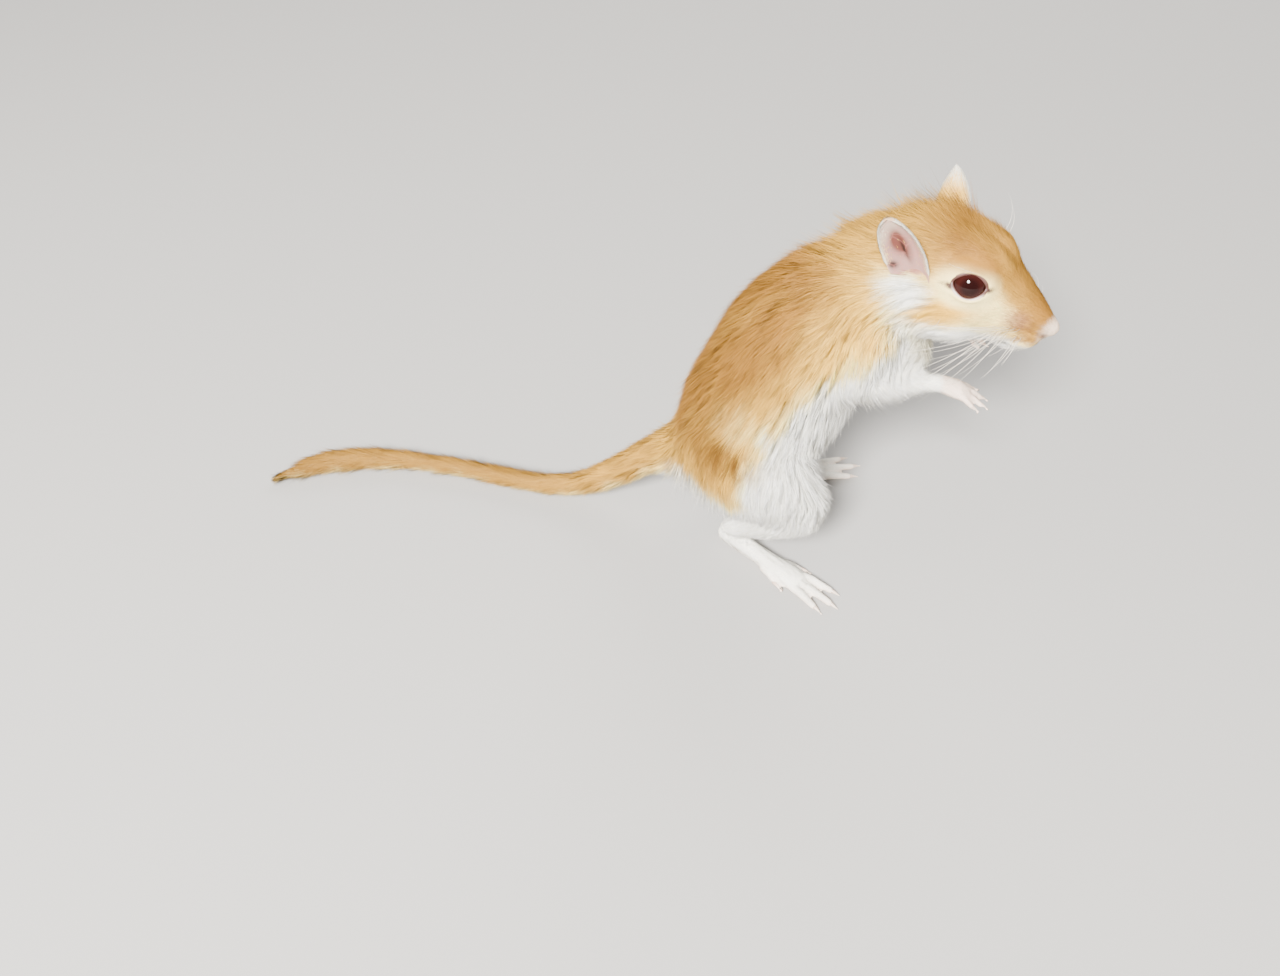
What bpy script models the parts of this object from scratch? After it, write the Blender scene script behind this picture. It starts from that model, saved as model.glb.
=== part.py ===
"""Mongolian gerbil, life size, sitting up on its haunches with its forepaws held out before its chest.

The animal faces +X, +Y is its left and +Z is up. Every size below is in millimetres and is turned into
metres where a mesh is made. While it is modelled, x = 0 is at the heels and z = 0 is the floor; the last
step moves the whole animal so that the centre of its footprint on the floor is the origin.
The flesh is modelled whole, as overlapping lofts fused by a voxel remesh, and parted by thin cuts.
"""
import math

import bmesh
import bpy
import numpy as np
from mathutils import Matrix, Vector

MM = 0.001
# The gap between two parts, the size under which an edge is a sliver, and how flesh is fused and softened.
GAP = 0.3
SLIVER = 0.002
MENDING_ROUNDS = 6
FUSING_VOXEL = 0.55
SOFTENING = 0.5
SOFTENING_ROUNDS = 14
SHARP_ANGLE = 50.0

# The trunk's line from the root of the tail to the neck:
# x, y, z of the section's centre, half width, height to the back, depth to the belly.
TRUNK_LINE = (
    (-13.0, 0.0, 17.6, 6.8, 6.6, 6.4),
    (-5.0, 0.0, 22.5, 15.5, 13.5, 12.5),
    (2.5, 0.0, 31.0, 19.0, 17.0, 15.5),
    (7.5, 0.0, 40.5, 19.6, 17.6, 15.6),
    (11.0, 0.3, 49.5, 18.3, 17.2, 15.2),
    (16.0, 1.0, 57.5, 16.3, 15.6, 14.8),
    (22.5, 2.3, 63.5, 13.8, 12.8, 13.4),
    (29.0, 3.2, 67.0, 12.2, 10.6, 11.6),
)
TRUNK_BACK = (-0.8, 0.0, 0.6)

# The head's own frame starts at the tip of the nose: distance back from it, half width, height to the
# brow and crown, depth to the lips, chin and throat.
NOSE_TIP = (56.3, -6.0, 66.6)
HEAD_YAW = -20.0
HEAD_PITCH = -4.0
HEAD_ROLL = -4.0
HEAD_LINE = (
    (0.9, 2.2, 2.0, 2.2),
    (2.4, 3.4, 3.4, 3.6),
    (5.0, 4.9, 5.6, 5.0),
    (9.0, 6.9, 8.7, 6.2),
    (13.5, 8.7, 11.3, 7.2),
    (18.5, 10.4, 13.5, 8.4),
    (24.0, 11.8, 15.2, 9.6),
    (29.0, 12.2, 13.8, 10.2),
    (33.0, 11.6, 10.6, 10.2),
)
# Swellings of the head: the centre, as distance back, out and up from the tip of the nose, and the radii.
# Whisker pads and cheeks are on both sides. The breast's centre is x, y, z.
WHISKER_PAD = ((5.6, 2.7, -2.4), (4.4, 2.8, 2.8))
CHEEK = ((20.0, 5.4, -2.4), (8.5, 5.2, 6.0))
EYE_MOUND = (5.5, 3.6, 4.9)
CHIN = ((7.4, 0.0, -6.1), (4.0, 2.6, 1.9))
BREAST = ((26.5, -0.5, 53.5), (10.5, 11.5, 9.0))
# The eye's ball and the way its pupil looks. The lids' rim is a thin tube round the opening, whose half width
# and half height are given; it stands outside the opening and off the ball by shares of its own radius.
EYE_PLACE = (16.4, 6.7, 6.4)
EYE_RADIUS = 3.5
EYE_AIM_FORWARD = 18.0
EYE_AIM_UP = 16.0
LID_RADIUS = 0.5
LID_OUTSIDE = 0.6
LID_RAISED = 0.3
LID_STEPS = 22
LID_SIDES = 6
LID_OPENING = (3.25, 2.3)
OPENING_REACH = (1.0, 4.0, 7.0)
# The root of an ear, and for each side the way it leans: back, out and up.
EAR_ROOT = (27.0, 9.6, 7.6)
EAR_LEANS = {-1: (0.40, 0.45, 0.88), 1: (0.28, 0.75, 0.58)}
EAR_FACES = (0.50, 0.85, 0.05)
EAR_LENGTH = 12.0
EAR_SUNK = 2.0
EAR_HALF_WIDTH = 4.5
EAR_THICKNESS = 0.8
EAR_KNOB = (2.8, 2.2, 2.2)
EAR_KNOB_SUNK = 1.7
# The ear's leaf: where on a half circle its outline starts and how square that is; the curl of its sides at
# the tip, what the root adds and how that fades; how deep its face is hollowed, and where that ends.
EAR_OUTLINE = (0.16, 0.6)
EAR_CURL = (0.62, 1.5, 1.6)
EAR_HOLLOW = (1.1, 0.8)
EAR_GRID = (10, 11)
EAR_LAST_ROW = 0.98
# The mouth's line, as distance back, out and up from the tip of the nose, and the half width and half height
# of its cut. The lower lip is a thin tube under it. The philtrum runs from the nose down to the mouth.
MOUTH_LINE = ((2.5, 0.0, -3.5), (3.1, 1.6, -4.2), (5.2, 3.1, -4.8), (7.8, 4.1, -5.1), (10.2, 4.9, -5.2))
MOUTH_CUT = (1.2, 0.22)
LIP_RADIUS = 0.5
LIP_DROP = 0.8
LIP_NARROWED = 0.85
PHILTRUM_LINE = ((1.2, 0.0, -1.5), (2.2, 0.0, -3.6))
PHILTRUM_CUT = (0.18, 0.7)
NOSTRIL = ((1.5, 1.05, -0.35), (0.75, 0.6, 0.4))
NOSE_PAD = ((1.9, 0.0, -0.2), (1.6, 2.1, 1.5))

# Tail: x, y, z and radius out to the tips of its hair.
TAIL_LINE = (
    (-9.0, 0.0, 20.3, 6.6),
    (-16.5, 0.0, 17.3, 5.1),
    (-24.0, -0.7, 11.6, 4.4),
    (-31.0, -1.8, 7.0, 3.9),
    (-39.0, -2.6, 3.9, 3.4),
    (-50.0, -2.4, 2.9, 3.1),
    (-65.0, -1.2, 2.7, 3.0),
    (-80.0, -1.4, 2.7, 3.1),
    (-92.0, -4.2, 3.0, 3.5),
    (-101.0, -8.4, 2.8, 3.2),
    (-106.0, -12.0, 1.9, 2.1),
)
TAIL_CUTS = (0.10, 0.38, 0.69)
TAIL_REGION = 40.0
FLOOR_UNDER_TAIL = (-60.0, 0.0, 0.0)
FLOOR_SPAN = 160.0

# Hind leg, right side; the left one mirrors it with its own small changes of pose.
THIGH_LINE = (
    (-7.0, -8.0, 26.0, 5.6, 10.2),
    (-0.5, -11.2, 27.0, 8.4, 13.2),
    (7.0, -13.8, 26.4, 8.8, 12.6),
    (13.0, -15.2, 24.4, 7.2, 9.6),
    (16.5, -15.6, 22.4, 5.4, 6.8),
)
SHANK_LINE = (
    (15.5, -15.0, 19.5, 5.6, 6.0),
    (10.0, -13.2, 13.8, 4.6, 5.0),
    (5.0, -11.0, 9.0, 3.5, 3.8),
    (1.0, -9.2, 5.2, 2.7, 3.0),
)
# The foot's own frame starts under the heel: distance forward, height, half width and half height.
HEEL = (-0.6, -8.4, 0.0)
FOOT_SPLAY = {-1: 30.0, 1: 25.0}
FOOT_LINE = (
    (0.2, 2.6, 2.0, 2.5),
    (5.0, 2.3, 2.2, 2.4),
    (12.0, 1.8, 2.3, 1.95),
    (18.0, 1.6, 2.9, 1.75),
    (20.5, 1.4, 2.6, 1.5),
)
ANKLE_ROWS = 2
ANKLE_CUT = 0.45
ANKLE_WIDTH = 9.0
ANKLE_END = (1.6, 3.0, 2.3, 2.4)
TOE_LENGTHS = (4.4, 8.0, 9.0, 8.2, 5.0)
TOE_SPREAD = (-17.0, -8.0, 0.0, 8.0, 18.0)
TOE_ROOTS = ((12.5, -2.0), (19.0, -1.9), (20.0, 0.0), (19.0, 1.9), (14.0, 2.1))
TOE_RADIUS = 1.1
TOE_SUNK = 0.1
TOE_DROOP = 0.12
CLAW_LENGTH = 2.0
# A digit: how far along the knuckle is, how far it rises and the tip sinks, in radii, and the tip's size. A
# claw's rows are its share of the length, its drop and its radius, both in radii of the digit.
KNUCKLE_AT = 0.45
KNUCKLE_RISE = 0.35
TIP_SINK = 0.1
TIP_SIZE = 0.82
CLAW_ROWS = ((0.0, 0.0, 0.44), (0.5, -0.12, 0.37), (1.0, 0.45, 0.16))

# Foreleg, right side. The left one mirrors it and is moved by a little, as the chest turns to the right.
LEFT_FORELEG = (0.0, 3.4, 1.5)
UPPER_ARM_LINE = (
    (23.5, -8.0, 60.6, 6.6, 7.2),
    (22.0, -10.2, 56.0, 5.2, 6.0),
    (21.6, -10.8, 52.2, 4.2, 4.6),
)
FOREARM_LINE = (
    (21.4, -10.8, 51.8, 4.0, 3.8),
    (27.0, -10.0, 51.6, 3.3, 3.1),
    (33.0, -8.6, 52.0, 2.4, 2.3),
    (38.5, -8.0, 52.4, 2.0, 1.7),
)
WRIST_CUT = 0.86
PAW_DROOP = 20.0
PAW_LINE = ((-2.0, 1.9, 1.7), (1.0, 2.3, 1.8), (3.6, 2.7, 1.7), (4.8, 2.4, 1.3))
FINGER_LENGTHS = (3.0, 3.9, 4.1, 3.2)
FINGER_SPREAD = (-20.0, -7.0, 6.0, 19.0)
FINGER_ROOTS = ((3.6, -1.9), (4.6, -0.7), (4.6, 0.7), (3.8, 1.9))
FINGER_RADIUS = 0.8
FINGER_DROOP = 0.8
FINGER_CLAW_LENGTH = 1.2

# Where the whole is parted: a point of each cut and the way it looks. A limb is parted by a sleeve that
# stands off its own line, with a little more on the outside for the faceting of its neighbour.
HEAD_CUT = ((30.0, 4.0, 68.5), (0.72, -0.20, 0.66))
NECK_CUT = ((23.0, 2.5, 63.0), (0.82, -0.08, 0.57))
WAIST_CUT = ((9.0, 0.2, 45.0), (0.36, 0.03, 0.93))
SLEEVE = 0.7
FACETING = 0.1
TRIANGLES = {
    "head": 1900,
    "neck": 500,
    "torso_front": 900,
    "torso_rear": 1100,
    "tail_root": 300,
    "tail_middle": 260,
    "tail_end": 280,
    "thigh": 480,
    "shank": 220,
    "upper_arm": 260,
    "forearm": 240,
    "finished_head": 3200,
    "ear": 340,
    "hind_foot": 800,
    "fore_paw": 560,
}

# Base colour and roughness of each finish, and the finish of each kind of part.
FINISHES = {
    "golden_fur": ((0.60, 0.36, 0.13), 0.85),
    "cream_fur": ((0.80, 0.74, 0.62), 0.85),
    "ear_skin": ((0.66, 0.45, 0.38), 0.6),
    "foot_skin": ((0.78, 0.60, 0.53), 0.6),
    "ruby_eye": ((0.05, 0.008, 0.008), 0.05),
}
FINISH_OF = {"ear": "ear_skin", "eye": "ruby_eye", "hind_foot": "foot_skin", "fore_paw": "foot_skin"}
FINISH_OF |= {"forearm": "cream_fur", "shank": "cream_fur"}


def metres(point):
    """A point given in millimetres, as a vector in metres."""
    return Vector(point) * MM


def smooth_rows(rows, count):
    """Points along a Catmull-Rom curve through the rows, evenly spread over the rows' own lengths."""
    rows = np.array(rows, float)
    padded = np.vstack([2 * rows[0] - rows[1], rows, 2 * rows[-1] - rows[-2]])
    span = np.linalg.norm(np.diff(rows[:, :3], axis=0), axis=1)
    reach = np.concatenate([[0.0], np.cumsum(span)])
    found = []
    for distance in np.linspace(0.0, reach[-1], count):
        i = min(int(np.searchsorted(reach, distance, side="right")) - 1, len(span) - 1)
        t = (distance - reach[i]) / span[i]
        a, b, c, d = padded[i : i + 4]
        found.append(
            0.5 * (2 * b + (c - a) * t + (2 * a - 5 * b + 4 * c - d) * t**2 + (3 * b - a - 3 * c + d) * t**3)
        )
    return np.array(found)


def section_frames(points, upright):
    """Side and height vectors across a path: the height vector stays as near upright as it can."""
    tangents = np.gradient(points, axis=0)
    tangents /= np.linalg.norm(tangents, axis=1)[:, None]
    side = np.cross(np.array(upright, float), tangents)
    side /= np.linalg.norm(side, axis=1)[:, None]
    return tangents, side, np.cross(tangents, side)


def loft(name, rows, sides=32, rings=24, upright=(0, 0, 1), cap_rings=4, grow=0.0):
    """A closed tube of oval sections. A row is x, y, z, half width and, where unlike it, height and depth."""
    rows = [tuple(row) + (row[-1],) * (6 - len(row)) for row in rows]
    rows = smooth_rows(rows, rings)
    rows[:, 3:] += grow
    points = rows[:, :3]
    tangents, side, height = section_frames(points, upright)
    sections = [(points[i], side[i], height[i], *rows[i, 3:6]) for i in range(rings)]
    turns = [math.pi / 2 * k / (cap_rings + 1) for k in range(1, cap_rings + 1)]
    for turn in turns:
        for end, sign in ((0, -1), (-1, 1)):
            reach = min(rows[end, 3], rows[end, 4]) * math.sin(turn)
            scaled = rows[end, 3:6] * math.cos(turn)
            centre = points[end] + sign * tangents[end] * reach
            section = (centre, side[end], height[end], *scaled)
            sections.insert(0, section) if end == 0 else sections.append(section)
    mesh = bmesh.new()
    made = []
    for centre, across, upward, half, top, bottom in sections:
        ring = []
        for k in range(sides):
            angle = 2 * math.pi * k / sides
            rise = math.sin(angle)
            offset = across * half * math.cos(angle) + upward * (top if rise > 0 else bottom) * rise
            ring.append(mesh.verts.new(metres(centre + offset)))
        made.append(ring)
    for first, second in zip(made, made[1:]):
        for k in range(sides):
            j = (k + 1) % sides
            mesh.faces.new((first[k], first[j], second[j], second[k]))
    tips = []
    for end, sign in ((0, -1), (-1, 1)):
        reach = min(rows[end, 3], rows[end, 4])
        tips.append(mesh.verts.new(metres(points[end] + sign * tangents[end] * reach)))
    for k in range(sides):
        j = (k + 1) % sides
        mesh.faces.new((made[0][j], made[0][k], tips[0]))
        mesh.faces.new((made[-1][k], made[-1][j], tips[1]))
    return object_from(name, mesh)


def ball(name, centre, radii, turn=None, segments=24, rings=14, grow=0.0):
    """An ellipsoid. Turn is the 3 by 3 matrix that its own axes follow."""
    mesh = bmesh.new()
    bmesh.ops.create_uvsphere(mesh, u_segments=segments, v_segments=rings, radius=1.0)
    shape = Matrix.Diagonal([(r + grow) * MM for r in radii]).to_4x4()
    place = Matrix.Translation(metres(centre)) @ (turn.to_4x4() if turn else Matrix.Identity(4))
    mesh.transform(place @ shape)
    return object_from(name, mesh)


def slab(name, centre, normal, size, depth):
    """A box of that size across, whose face through the centre looks against the normal."""
    mesh = bmesh.new()
    bmesh.ops.create_cube(mesh, size=1.0)
    turn = Vector(normal).to_track_quat("Z", "Y").to_matrix().to_4x4()
    scale = Matrix.Diagonal((size * MM, size * MM, depth * MM, 1.0))
    mesh.transform(Matrix.Translation(metres(centre)) @ turn @ scale @ Matrix.Translation((0, 0, 0.5)))
    return object_from(name, mesh)


def object_from(name, mesh):
    """Puts a bmesh in a new object, with its faces made to look outwards."""
    mesh.normal_update()
    bmesh.ops.recalc_face_normals(mesh, faces=mesh.faces)
    if mesh.calc_volume(signed=True) < 0:
        bmesh.ops.reverse_faces(mesh, faces=mesh.faces)
    data = bpy.data.meshes.new(name)
    mesh.to_mesh(data)
    mesh.free()
    made = bpy.data.objects.new(name, data)
    bpy.context.scene.collection.objects.link(made)
    return made


def applied(thing):
    """Bakes the object's modifiers into its mesh."""
    bpy.context.view_layer.update()
    graph = bpy.context.evaluated_depsgraph_get()
    data = bpy.data.meshes.new_from_object(thing.evaluated_get(graph))
    thing.modifiers.clear()
    thing.data = data
    return thing


def discard(*things):
    for thing in things:
        bpy.data.objects.remove(thing)


def copy_of(thing, name):
    made = bpy.data.objects.new(name, thing.data.copy())
    bpy.context.scene.collection.objects.link(made)
    return made


def boolean(thing, operation, other, solver="EXACT"):
    """Applies one Boolean with one closed mesh object."""
    modifier = thing.modifiers.new(operation.title(), "BOOLEAN")
    modifier.operation = operation
    modifier.solver = solver
    modifier.object = other
    return applied(thing)


def fused(name, things, solver="EXACT"):
    """Joins closed mesh objects into one body by a Boolean union on their collection."""
    base = things[0]
    group = bpy.data.collections.new(name + "_pieces")
    bpy.context.scene.collection.children.link(group)
    for thing in things[1:]:
        bpy.context.scene.collection.objects.unlink(thing)
        group.objects.link(thing)
    modifier = base.modifiers.new("Union", "BOOLEAN")
    modifier.operation = "UNION"
    modifier.operand_type = "COLLECTION"
    modifier.collection = group
    modifier.solver = solver
    applied(base)
    discard(*things[1:])
    bpy.data.collections.remove(group)
    base.name = name
    return largest_body(base)


def largest_body(thing):
    """Keeps only the mesh's largest closed surface."""
    mesh = bmesh.new()
    mesh.from_mesh(thing.data)
    left = set(mesh.verts)
    bodies = []
    while left:
        queue = [left.pop()]
        body = set(queue)
        while queue:
            for edge in queue.pop().link_edges:
                for vertex in edge.verts:
                    if vertex in left:
                        left.discard(vertex)
                        body.add(vertex)
                        queue.append(vertex)
        bodies.append(body)
    bodies.sort(key=len, reverse=True)
    loose = [vertex for body in bodies[1:] for vertex in body]
    bmesh.ops.delete(mesh, geom=loose, context="VERTS")
    mesh.to_mesh(thing.data)
    mesh.free()
    return thing


def mended(thing):
    """Dissolves slivers, then takes out and refills any spot where an edge has other than two faces."""
    mesh = bmesh.new()
    mesh.from_mesh(thing.data)
    bmesh.ops.remove_doubles(mesh, verts=mesh.verts, dist=SLIVER * MM)
    bmesh.ops.dissolve_degenerate(mesh, edges=mesh.edges, dist=SLIVER * MM)
    bmesh.ops.triangulate(mesh, faces=mesh.faces)
    for _ in range(MENDING_ROUNDS):
        faulty = [edge for edge in mesh.edges if len(edge.link_faces) != 2]
        if not faulty:
            break
        around = {face for edge in faulty for face in edge.link_faces}
        bmesh.ops.delete(mesh, geom=list(around), context="FACES")
        wires = [edge for edge in mesh.edges if not edge.link_faces]
        bmesh.ops.delete(mesh, geom=wires, context="EDGES")
        bmesh.ops.holes_fill(mesh, edges=[edge for edge in mesh.edges if edge.is_boundary], sides=0)
        bmesh.ops.triangulate(mesh, faces=mesh.faces)
    bmesh.ops.recalc_face_normals(mesh, faces=mesh.faces)
    mesh.to_mesh(thing.data)
    mesh.free()
    return largest_body(thing)


def fewer_faces(thing, target):
    """Decimates the mesh to about that many triangles."""
    thing.modifiers.new("Triangles", "TRIANGULATE")
    applied(thing)
    modifier = thing.modifiers.new("Fewer", "DECIMATE")
    modifier.ratio = min(1.0, target / len(thing.data.polygons))
    modifier.use_collapse_triangulate = True
    return mended(applied(thing))


def levelled(thing):
    """Lifts what thinning left below the floor back up to it."""
    for vertex in thing.data.vertices:
        vertex.co.z = max(vertex.co.z, 0.0)
    return thing


def head_turn():
    """The head's axes as columns: forward, left and up."""
    yaw = Matrix.Rotation(math.radians(HEAD_YAW), 3, "Z")
    pitch = Matrix.Rotation(math.radians(-HEAD_PITCH), 3, "Y")
    roll = Matrix.Rotation(math.radians(HEAD_ROLL), 3, "X")
    return yaw @ pitch @ roll


def head_point(back, left, up):
    """A point of the head's own frame, as x, y, z in millimetres."""
    return Vector(NOSE_TIP) + head_turn() @ Vector((-back, left, up))


def eye_centre(side):
    back, out, rise = EYE_PLACE
    return head_point(back, side * out, rise)


def eye_turn(side):
    """The eye's axes as columns: forward along the face, out of the pupil, and up."""
    ahead = math.radians(EYE_AIM_FORWARD)
    lift = math.radians(EYE_AIM_UP)
    aim = Vector((math.cos(lift) * math.sin(ahead), side * math.cos(lift) * math.cos(ahead), math.sin(lift)))
    along = aim.cross(Vector((0, 0, 1))).normalized() * side
    return head_turn() @ Matrix((along, aim, along.cross(aim))).transposed()


def mirrored(rows, side):
    """Rows for the right side (side -1) as they are, or carried over to the left (side 1)."""
    return [(row[0], row[1] * -side, *row[2:]) for row in rows]


def foreleg(rows, side):
    """Rows of the foreleg on one side."""
    if side < 0:
        return list(rows)
    ahead, left, up = LEFT_FORELEG
    return [(row[0] + ahead, left - row[1], row[2] + up, *row[3:]) for row in rows]


def whole_flesh():
    """Trunk, head, legs and tail as one smooth closed surface."""
    turn = head_turn()
    up = turn @ Vector((0, 0, 1))
    head_rows = [(*head_point(back, 0, 0), *sizes) for back, *sizes in HEAD_LINE]
    shapes = [
        loft("trunk", TRUNK_LINE, rings=30, upright=TRUNK_BACK),
        loft("skull", head_rows[::-1], rings=28, upright=up),
        loft("tail", TAIL_LINE, rings=60, sides=20),
        ball("chin", head_point(*CHIN[0]), CHIN[1], turn),
        ball("nose_pad", head_point(*NOSE_PAD[0]), NOSE_PAD[1], turn),
        ball("breast", *BREAST),
    ]
    for side in (-1, 1):
        for (back, out, rise), radii in (WHISKER_PAD, CHEEK):
            shapes.append(ball("cheek", head_point(back, side * out, rise), radii, turn))
        shapes.append(ball("eye_mound", eye_centre(side), EYE_MOUND, eye_turn(side)))
        back, out, rise = EAR_ROOT
        knob = head_point(back, side * (out - EAR_KNOB_SUNK), rise - EAR_KNOB_SUNK)
        shapes.append(ball("ear_knob", knob, EAR_KNOB, turn))
        shapes.append(loft("thigh", mirrored(THIGH_LINE, side)))
        shapes.append(loft("shank", mirrored(SHANK_LINE, side), sides=24))
        shapes.append(loft("upper_arm", foreleg(UPPER_ARM_LINE, side), sides=24, upright=(1, 0, 0)))
        shapes.append(loft("forearm", foreleg(FOREARM_LINE, side), sides=24))
    whole = joined("gerbil_flesh", shapes)
    remesh = whole.modifiers.new("Fuse", "REMESH")
    remesh.mode = "VOXEL"
    remesh.voxel_size = FUSING_VOXEL * MM
    soften = whole.modifiers.new("Soften", "SMOOTH")
    soften.factor = SOFTENING
    soften.iterations = SOFTENING_ROUNDS
    return applied(whole)


def joined(name, things):
    """Puts the meshes of several objects in one, as separate shells."""
    mesh = bmesh.new()
    for thing in things:
        mesh.from_mesh(thing.data)
    discard(*things)
    return object_from(name, mesh)


def carve(rest, name, region, grown):
    """Takes what lies in the region off the rest as a node of its own, a gap's width clear of it."""
    node = copy_of(rest, name)
    boolean(node, "INTERSECT", region, "MANIFOLD")
    boolean(rest, "DIFFERENCE", grown, "MANIFOLD")
    discard(region, grown)
    largest_body(rest)
    return largest_body(node)


def beyond(rest, name, centre, normal, size=60.0, depth=120.0):
    """Parts off all that lies past a plane, within a slab of that size."""
    toward = Vector(normal).normalized()
    region = slab("region", centre, toward, size, depth)
    back = Vector(centre) - toward * GAP
    grown = slab("grown", back, toward, size + 2 * GAP, depth + 2 * GAP)
    return carve(rest, name, region, grown)


def sleeved(rest, name, rows, upright=(0, 0, 1)):
    """Parts off a limb, by a sleeve that stands a little off the loft it was made from."""
    region = loft("region", rows, upright=upright, grow=SLEEVE)
    grown = loft("grown", rows, upright=upright, grow=SLEEVE + GAP + FACETING)
    return carve(rest, name, region, grown)


def cut_off(thing, centre, normal, size=24.0, depth=60.0):
    """Removes all that lies past a plane."""
    cutter = slab("cutter", centre, normal, size, depth)
    boolean(thing, "DIFFERENCE", cutter, "MANIFOLD")
    discard(cutter)
    return largest_body(thing)


def place_along(rows, fraction):
    """A point at that fraction of a line's length, and the way that the line runs there."""
    points = smooth_rows(rows, 101)[:, :3]
    i = int(round(100 * fraction))
    ahead = points[min(i + 1, 100)] - points[max(i - 1, 0)]
    return Vector(points[i]), Vector(ahead).normalized()


def ankle(side):
    return place_along(mirrored(SHANK_LINE[ANKLE_ROWS:], side), ANKLE_CUT)


def wrist(side):
    return place_along(foreleg(FOREARM_LINE, side), WRIST_CUT)


def digit(name, root, ahead, length, radius, droop, claw):
    """One toe or finger with its claw: a bent tube with a low knuckle, and a curved cone past its end."""
    root = Vector(root)
    ahead = Vector(ahead).normalized()
    up = Vector((0, 0, 1))
    knuckle = root + ahead * length * KNUCKLE_AT + up * (KNUCKLE_RISE - droop * KNUCKLE_AT) * radius
    tip = root + ahead * length - up * (TIP_SINK + droop) * radius
    rows = [(*root, radius), (*knuckle, radius), (*tip, radius * TIP_SIZE)]
    claw_rows = []
    for share, drop, size in CLAW_ROWS:
        spot = tip + ahead * share * (claw + radius / 2) - up * radius * drop
        claw_rows.append((*spot, radius * size))
    toe = loft(name, rows, sides=8, rings=5, cap_rings=1)
    return [toe, loft(name + "_claw", claw_rows, sides=6, rings=4, cap_rings=1)]


def hind_foot(side):
    """Long flat foot from the ankle to the claws, cut level underneath."""
    splay = math.radians(FOOT_SPLAY[side]) * side
    ahead = Vector((math.cos(splay), math.sin(splay), 0))
    across = Vector((-math.sin(splay), math.cos(splay), 0)) * -side
    heel = Vector((HEEL[0], HEEL[1] * -side, 0))

    def foot_point(forward, sideways, height):
        return heel + ahead * forward + across * sideways + Vector((0, 0, height))

    rows = [(*foot_point(forward, 0, height), half, rise) for forward, height, half, rise in FOOT_LINE]
    pieces = [loft("sole", rows, sides=16, rings=9, cap_rings=2)]
    centre, down = ankle(side)
    forward, height, half, rise = ANKLE_END
    stub = mirrored(SHANK_LINE[ANKLE_ROWS:], side)
    stub.append((*foot_point(forward, 0, height), half, rise))
    pieces.append(loft("ankle", stub, sides=16, rings=6, cap_rings=2))
    for (forward, sideways), turn, length in zip(TOE_ROOTS, TOE_SPREAD, TOE_LENGTHS):
        bend = math.radians(turn)
        way = ahead * math.cos(bend) + across * math.sin(bend)
        root = foot_point(forward, sideways, TOE_RADIUS - TOE_SUNK)
        pieces += digit("toe", root, way, length, TOE_RADIUS, TOE_DROOP, CLAW_LENGTH)
    foot = fused("hind_foot" + suffix(side), pieces)
    cut_off(foot, centre + down * GAP, -down, size=ANKLE_WIDTH)
    cut_off(foot, heel, (0, 0, -1), size=FLOOR_SPAN)
    return levelled(fewer_faces(foot, TRIANGLES["hind_foot"]))


def fore_paw(side):
    """Small hand held out in front: palm, four fingers and their claws."""
    centre, ahead = wrist(side)
    droop = math.radians(PAW_DROOP)
    level = Vector((ahead.x, ahead.y, 0)).normalized()
    way = level * math.cos(droop) - Vector((0, 0, math.sin(droop)))
    across = way.cross(Vector((0, 0, 1))).normalized() * side
    start = Vector(foreleg(FOREARM_LINE, side)[-1][:3])
    rows = [(*(start + way * forward), half, rise) for forward, half, rise in PAW_LINE]
    arm_end = foreleg(FOREARM_LINE, side)[-2:]
    pieces = [loft("palm", rows, sides=14, rings=6, cap_rings=2)]
    pieces.append(loft("wrist", arm_end, sides=14, rings=4, cap_rings=2))
    for (forward, sideways), turn, length in zip(FINGER_ROOTS, FINGER_SPREAD, FINGER_LENGTHS):
        bend = math.radians(turn)
        finger_way = way * math.cos(bend) + across * math.sin(bend)
        root = start + way * forward + across * sideways
        pieces += digit("finger", root, finger_way, length, FINGER_RADIUS, FINGER_DROOP, FINGER_CLAW_LENGTH)
    paw = fused("fore_paw" + suffix(side), pieces)
    cut_off(paw, centre + ahead * GAP, -ahead)
    return fewer_faces(paw, TRIANGLES["fore_paw"])


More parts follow.
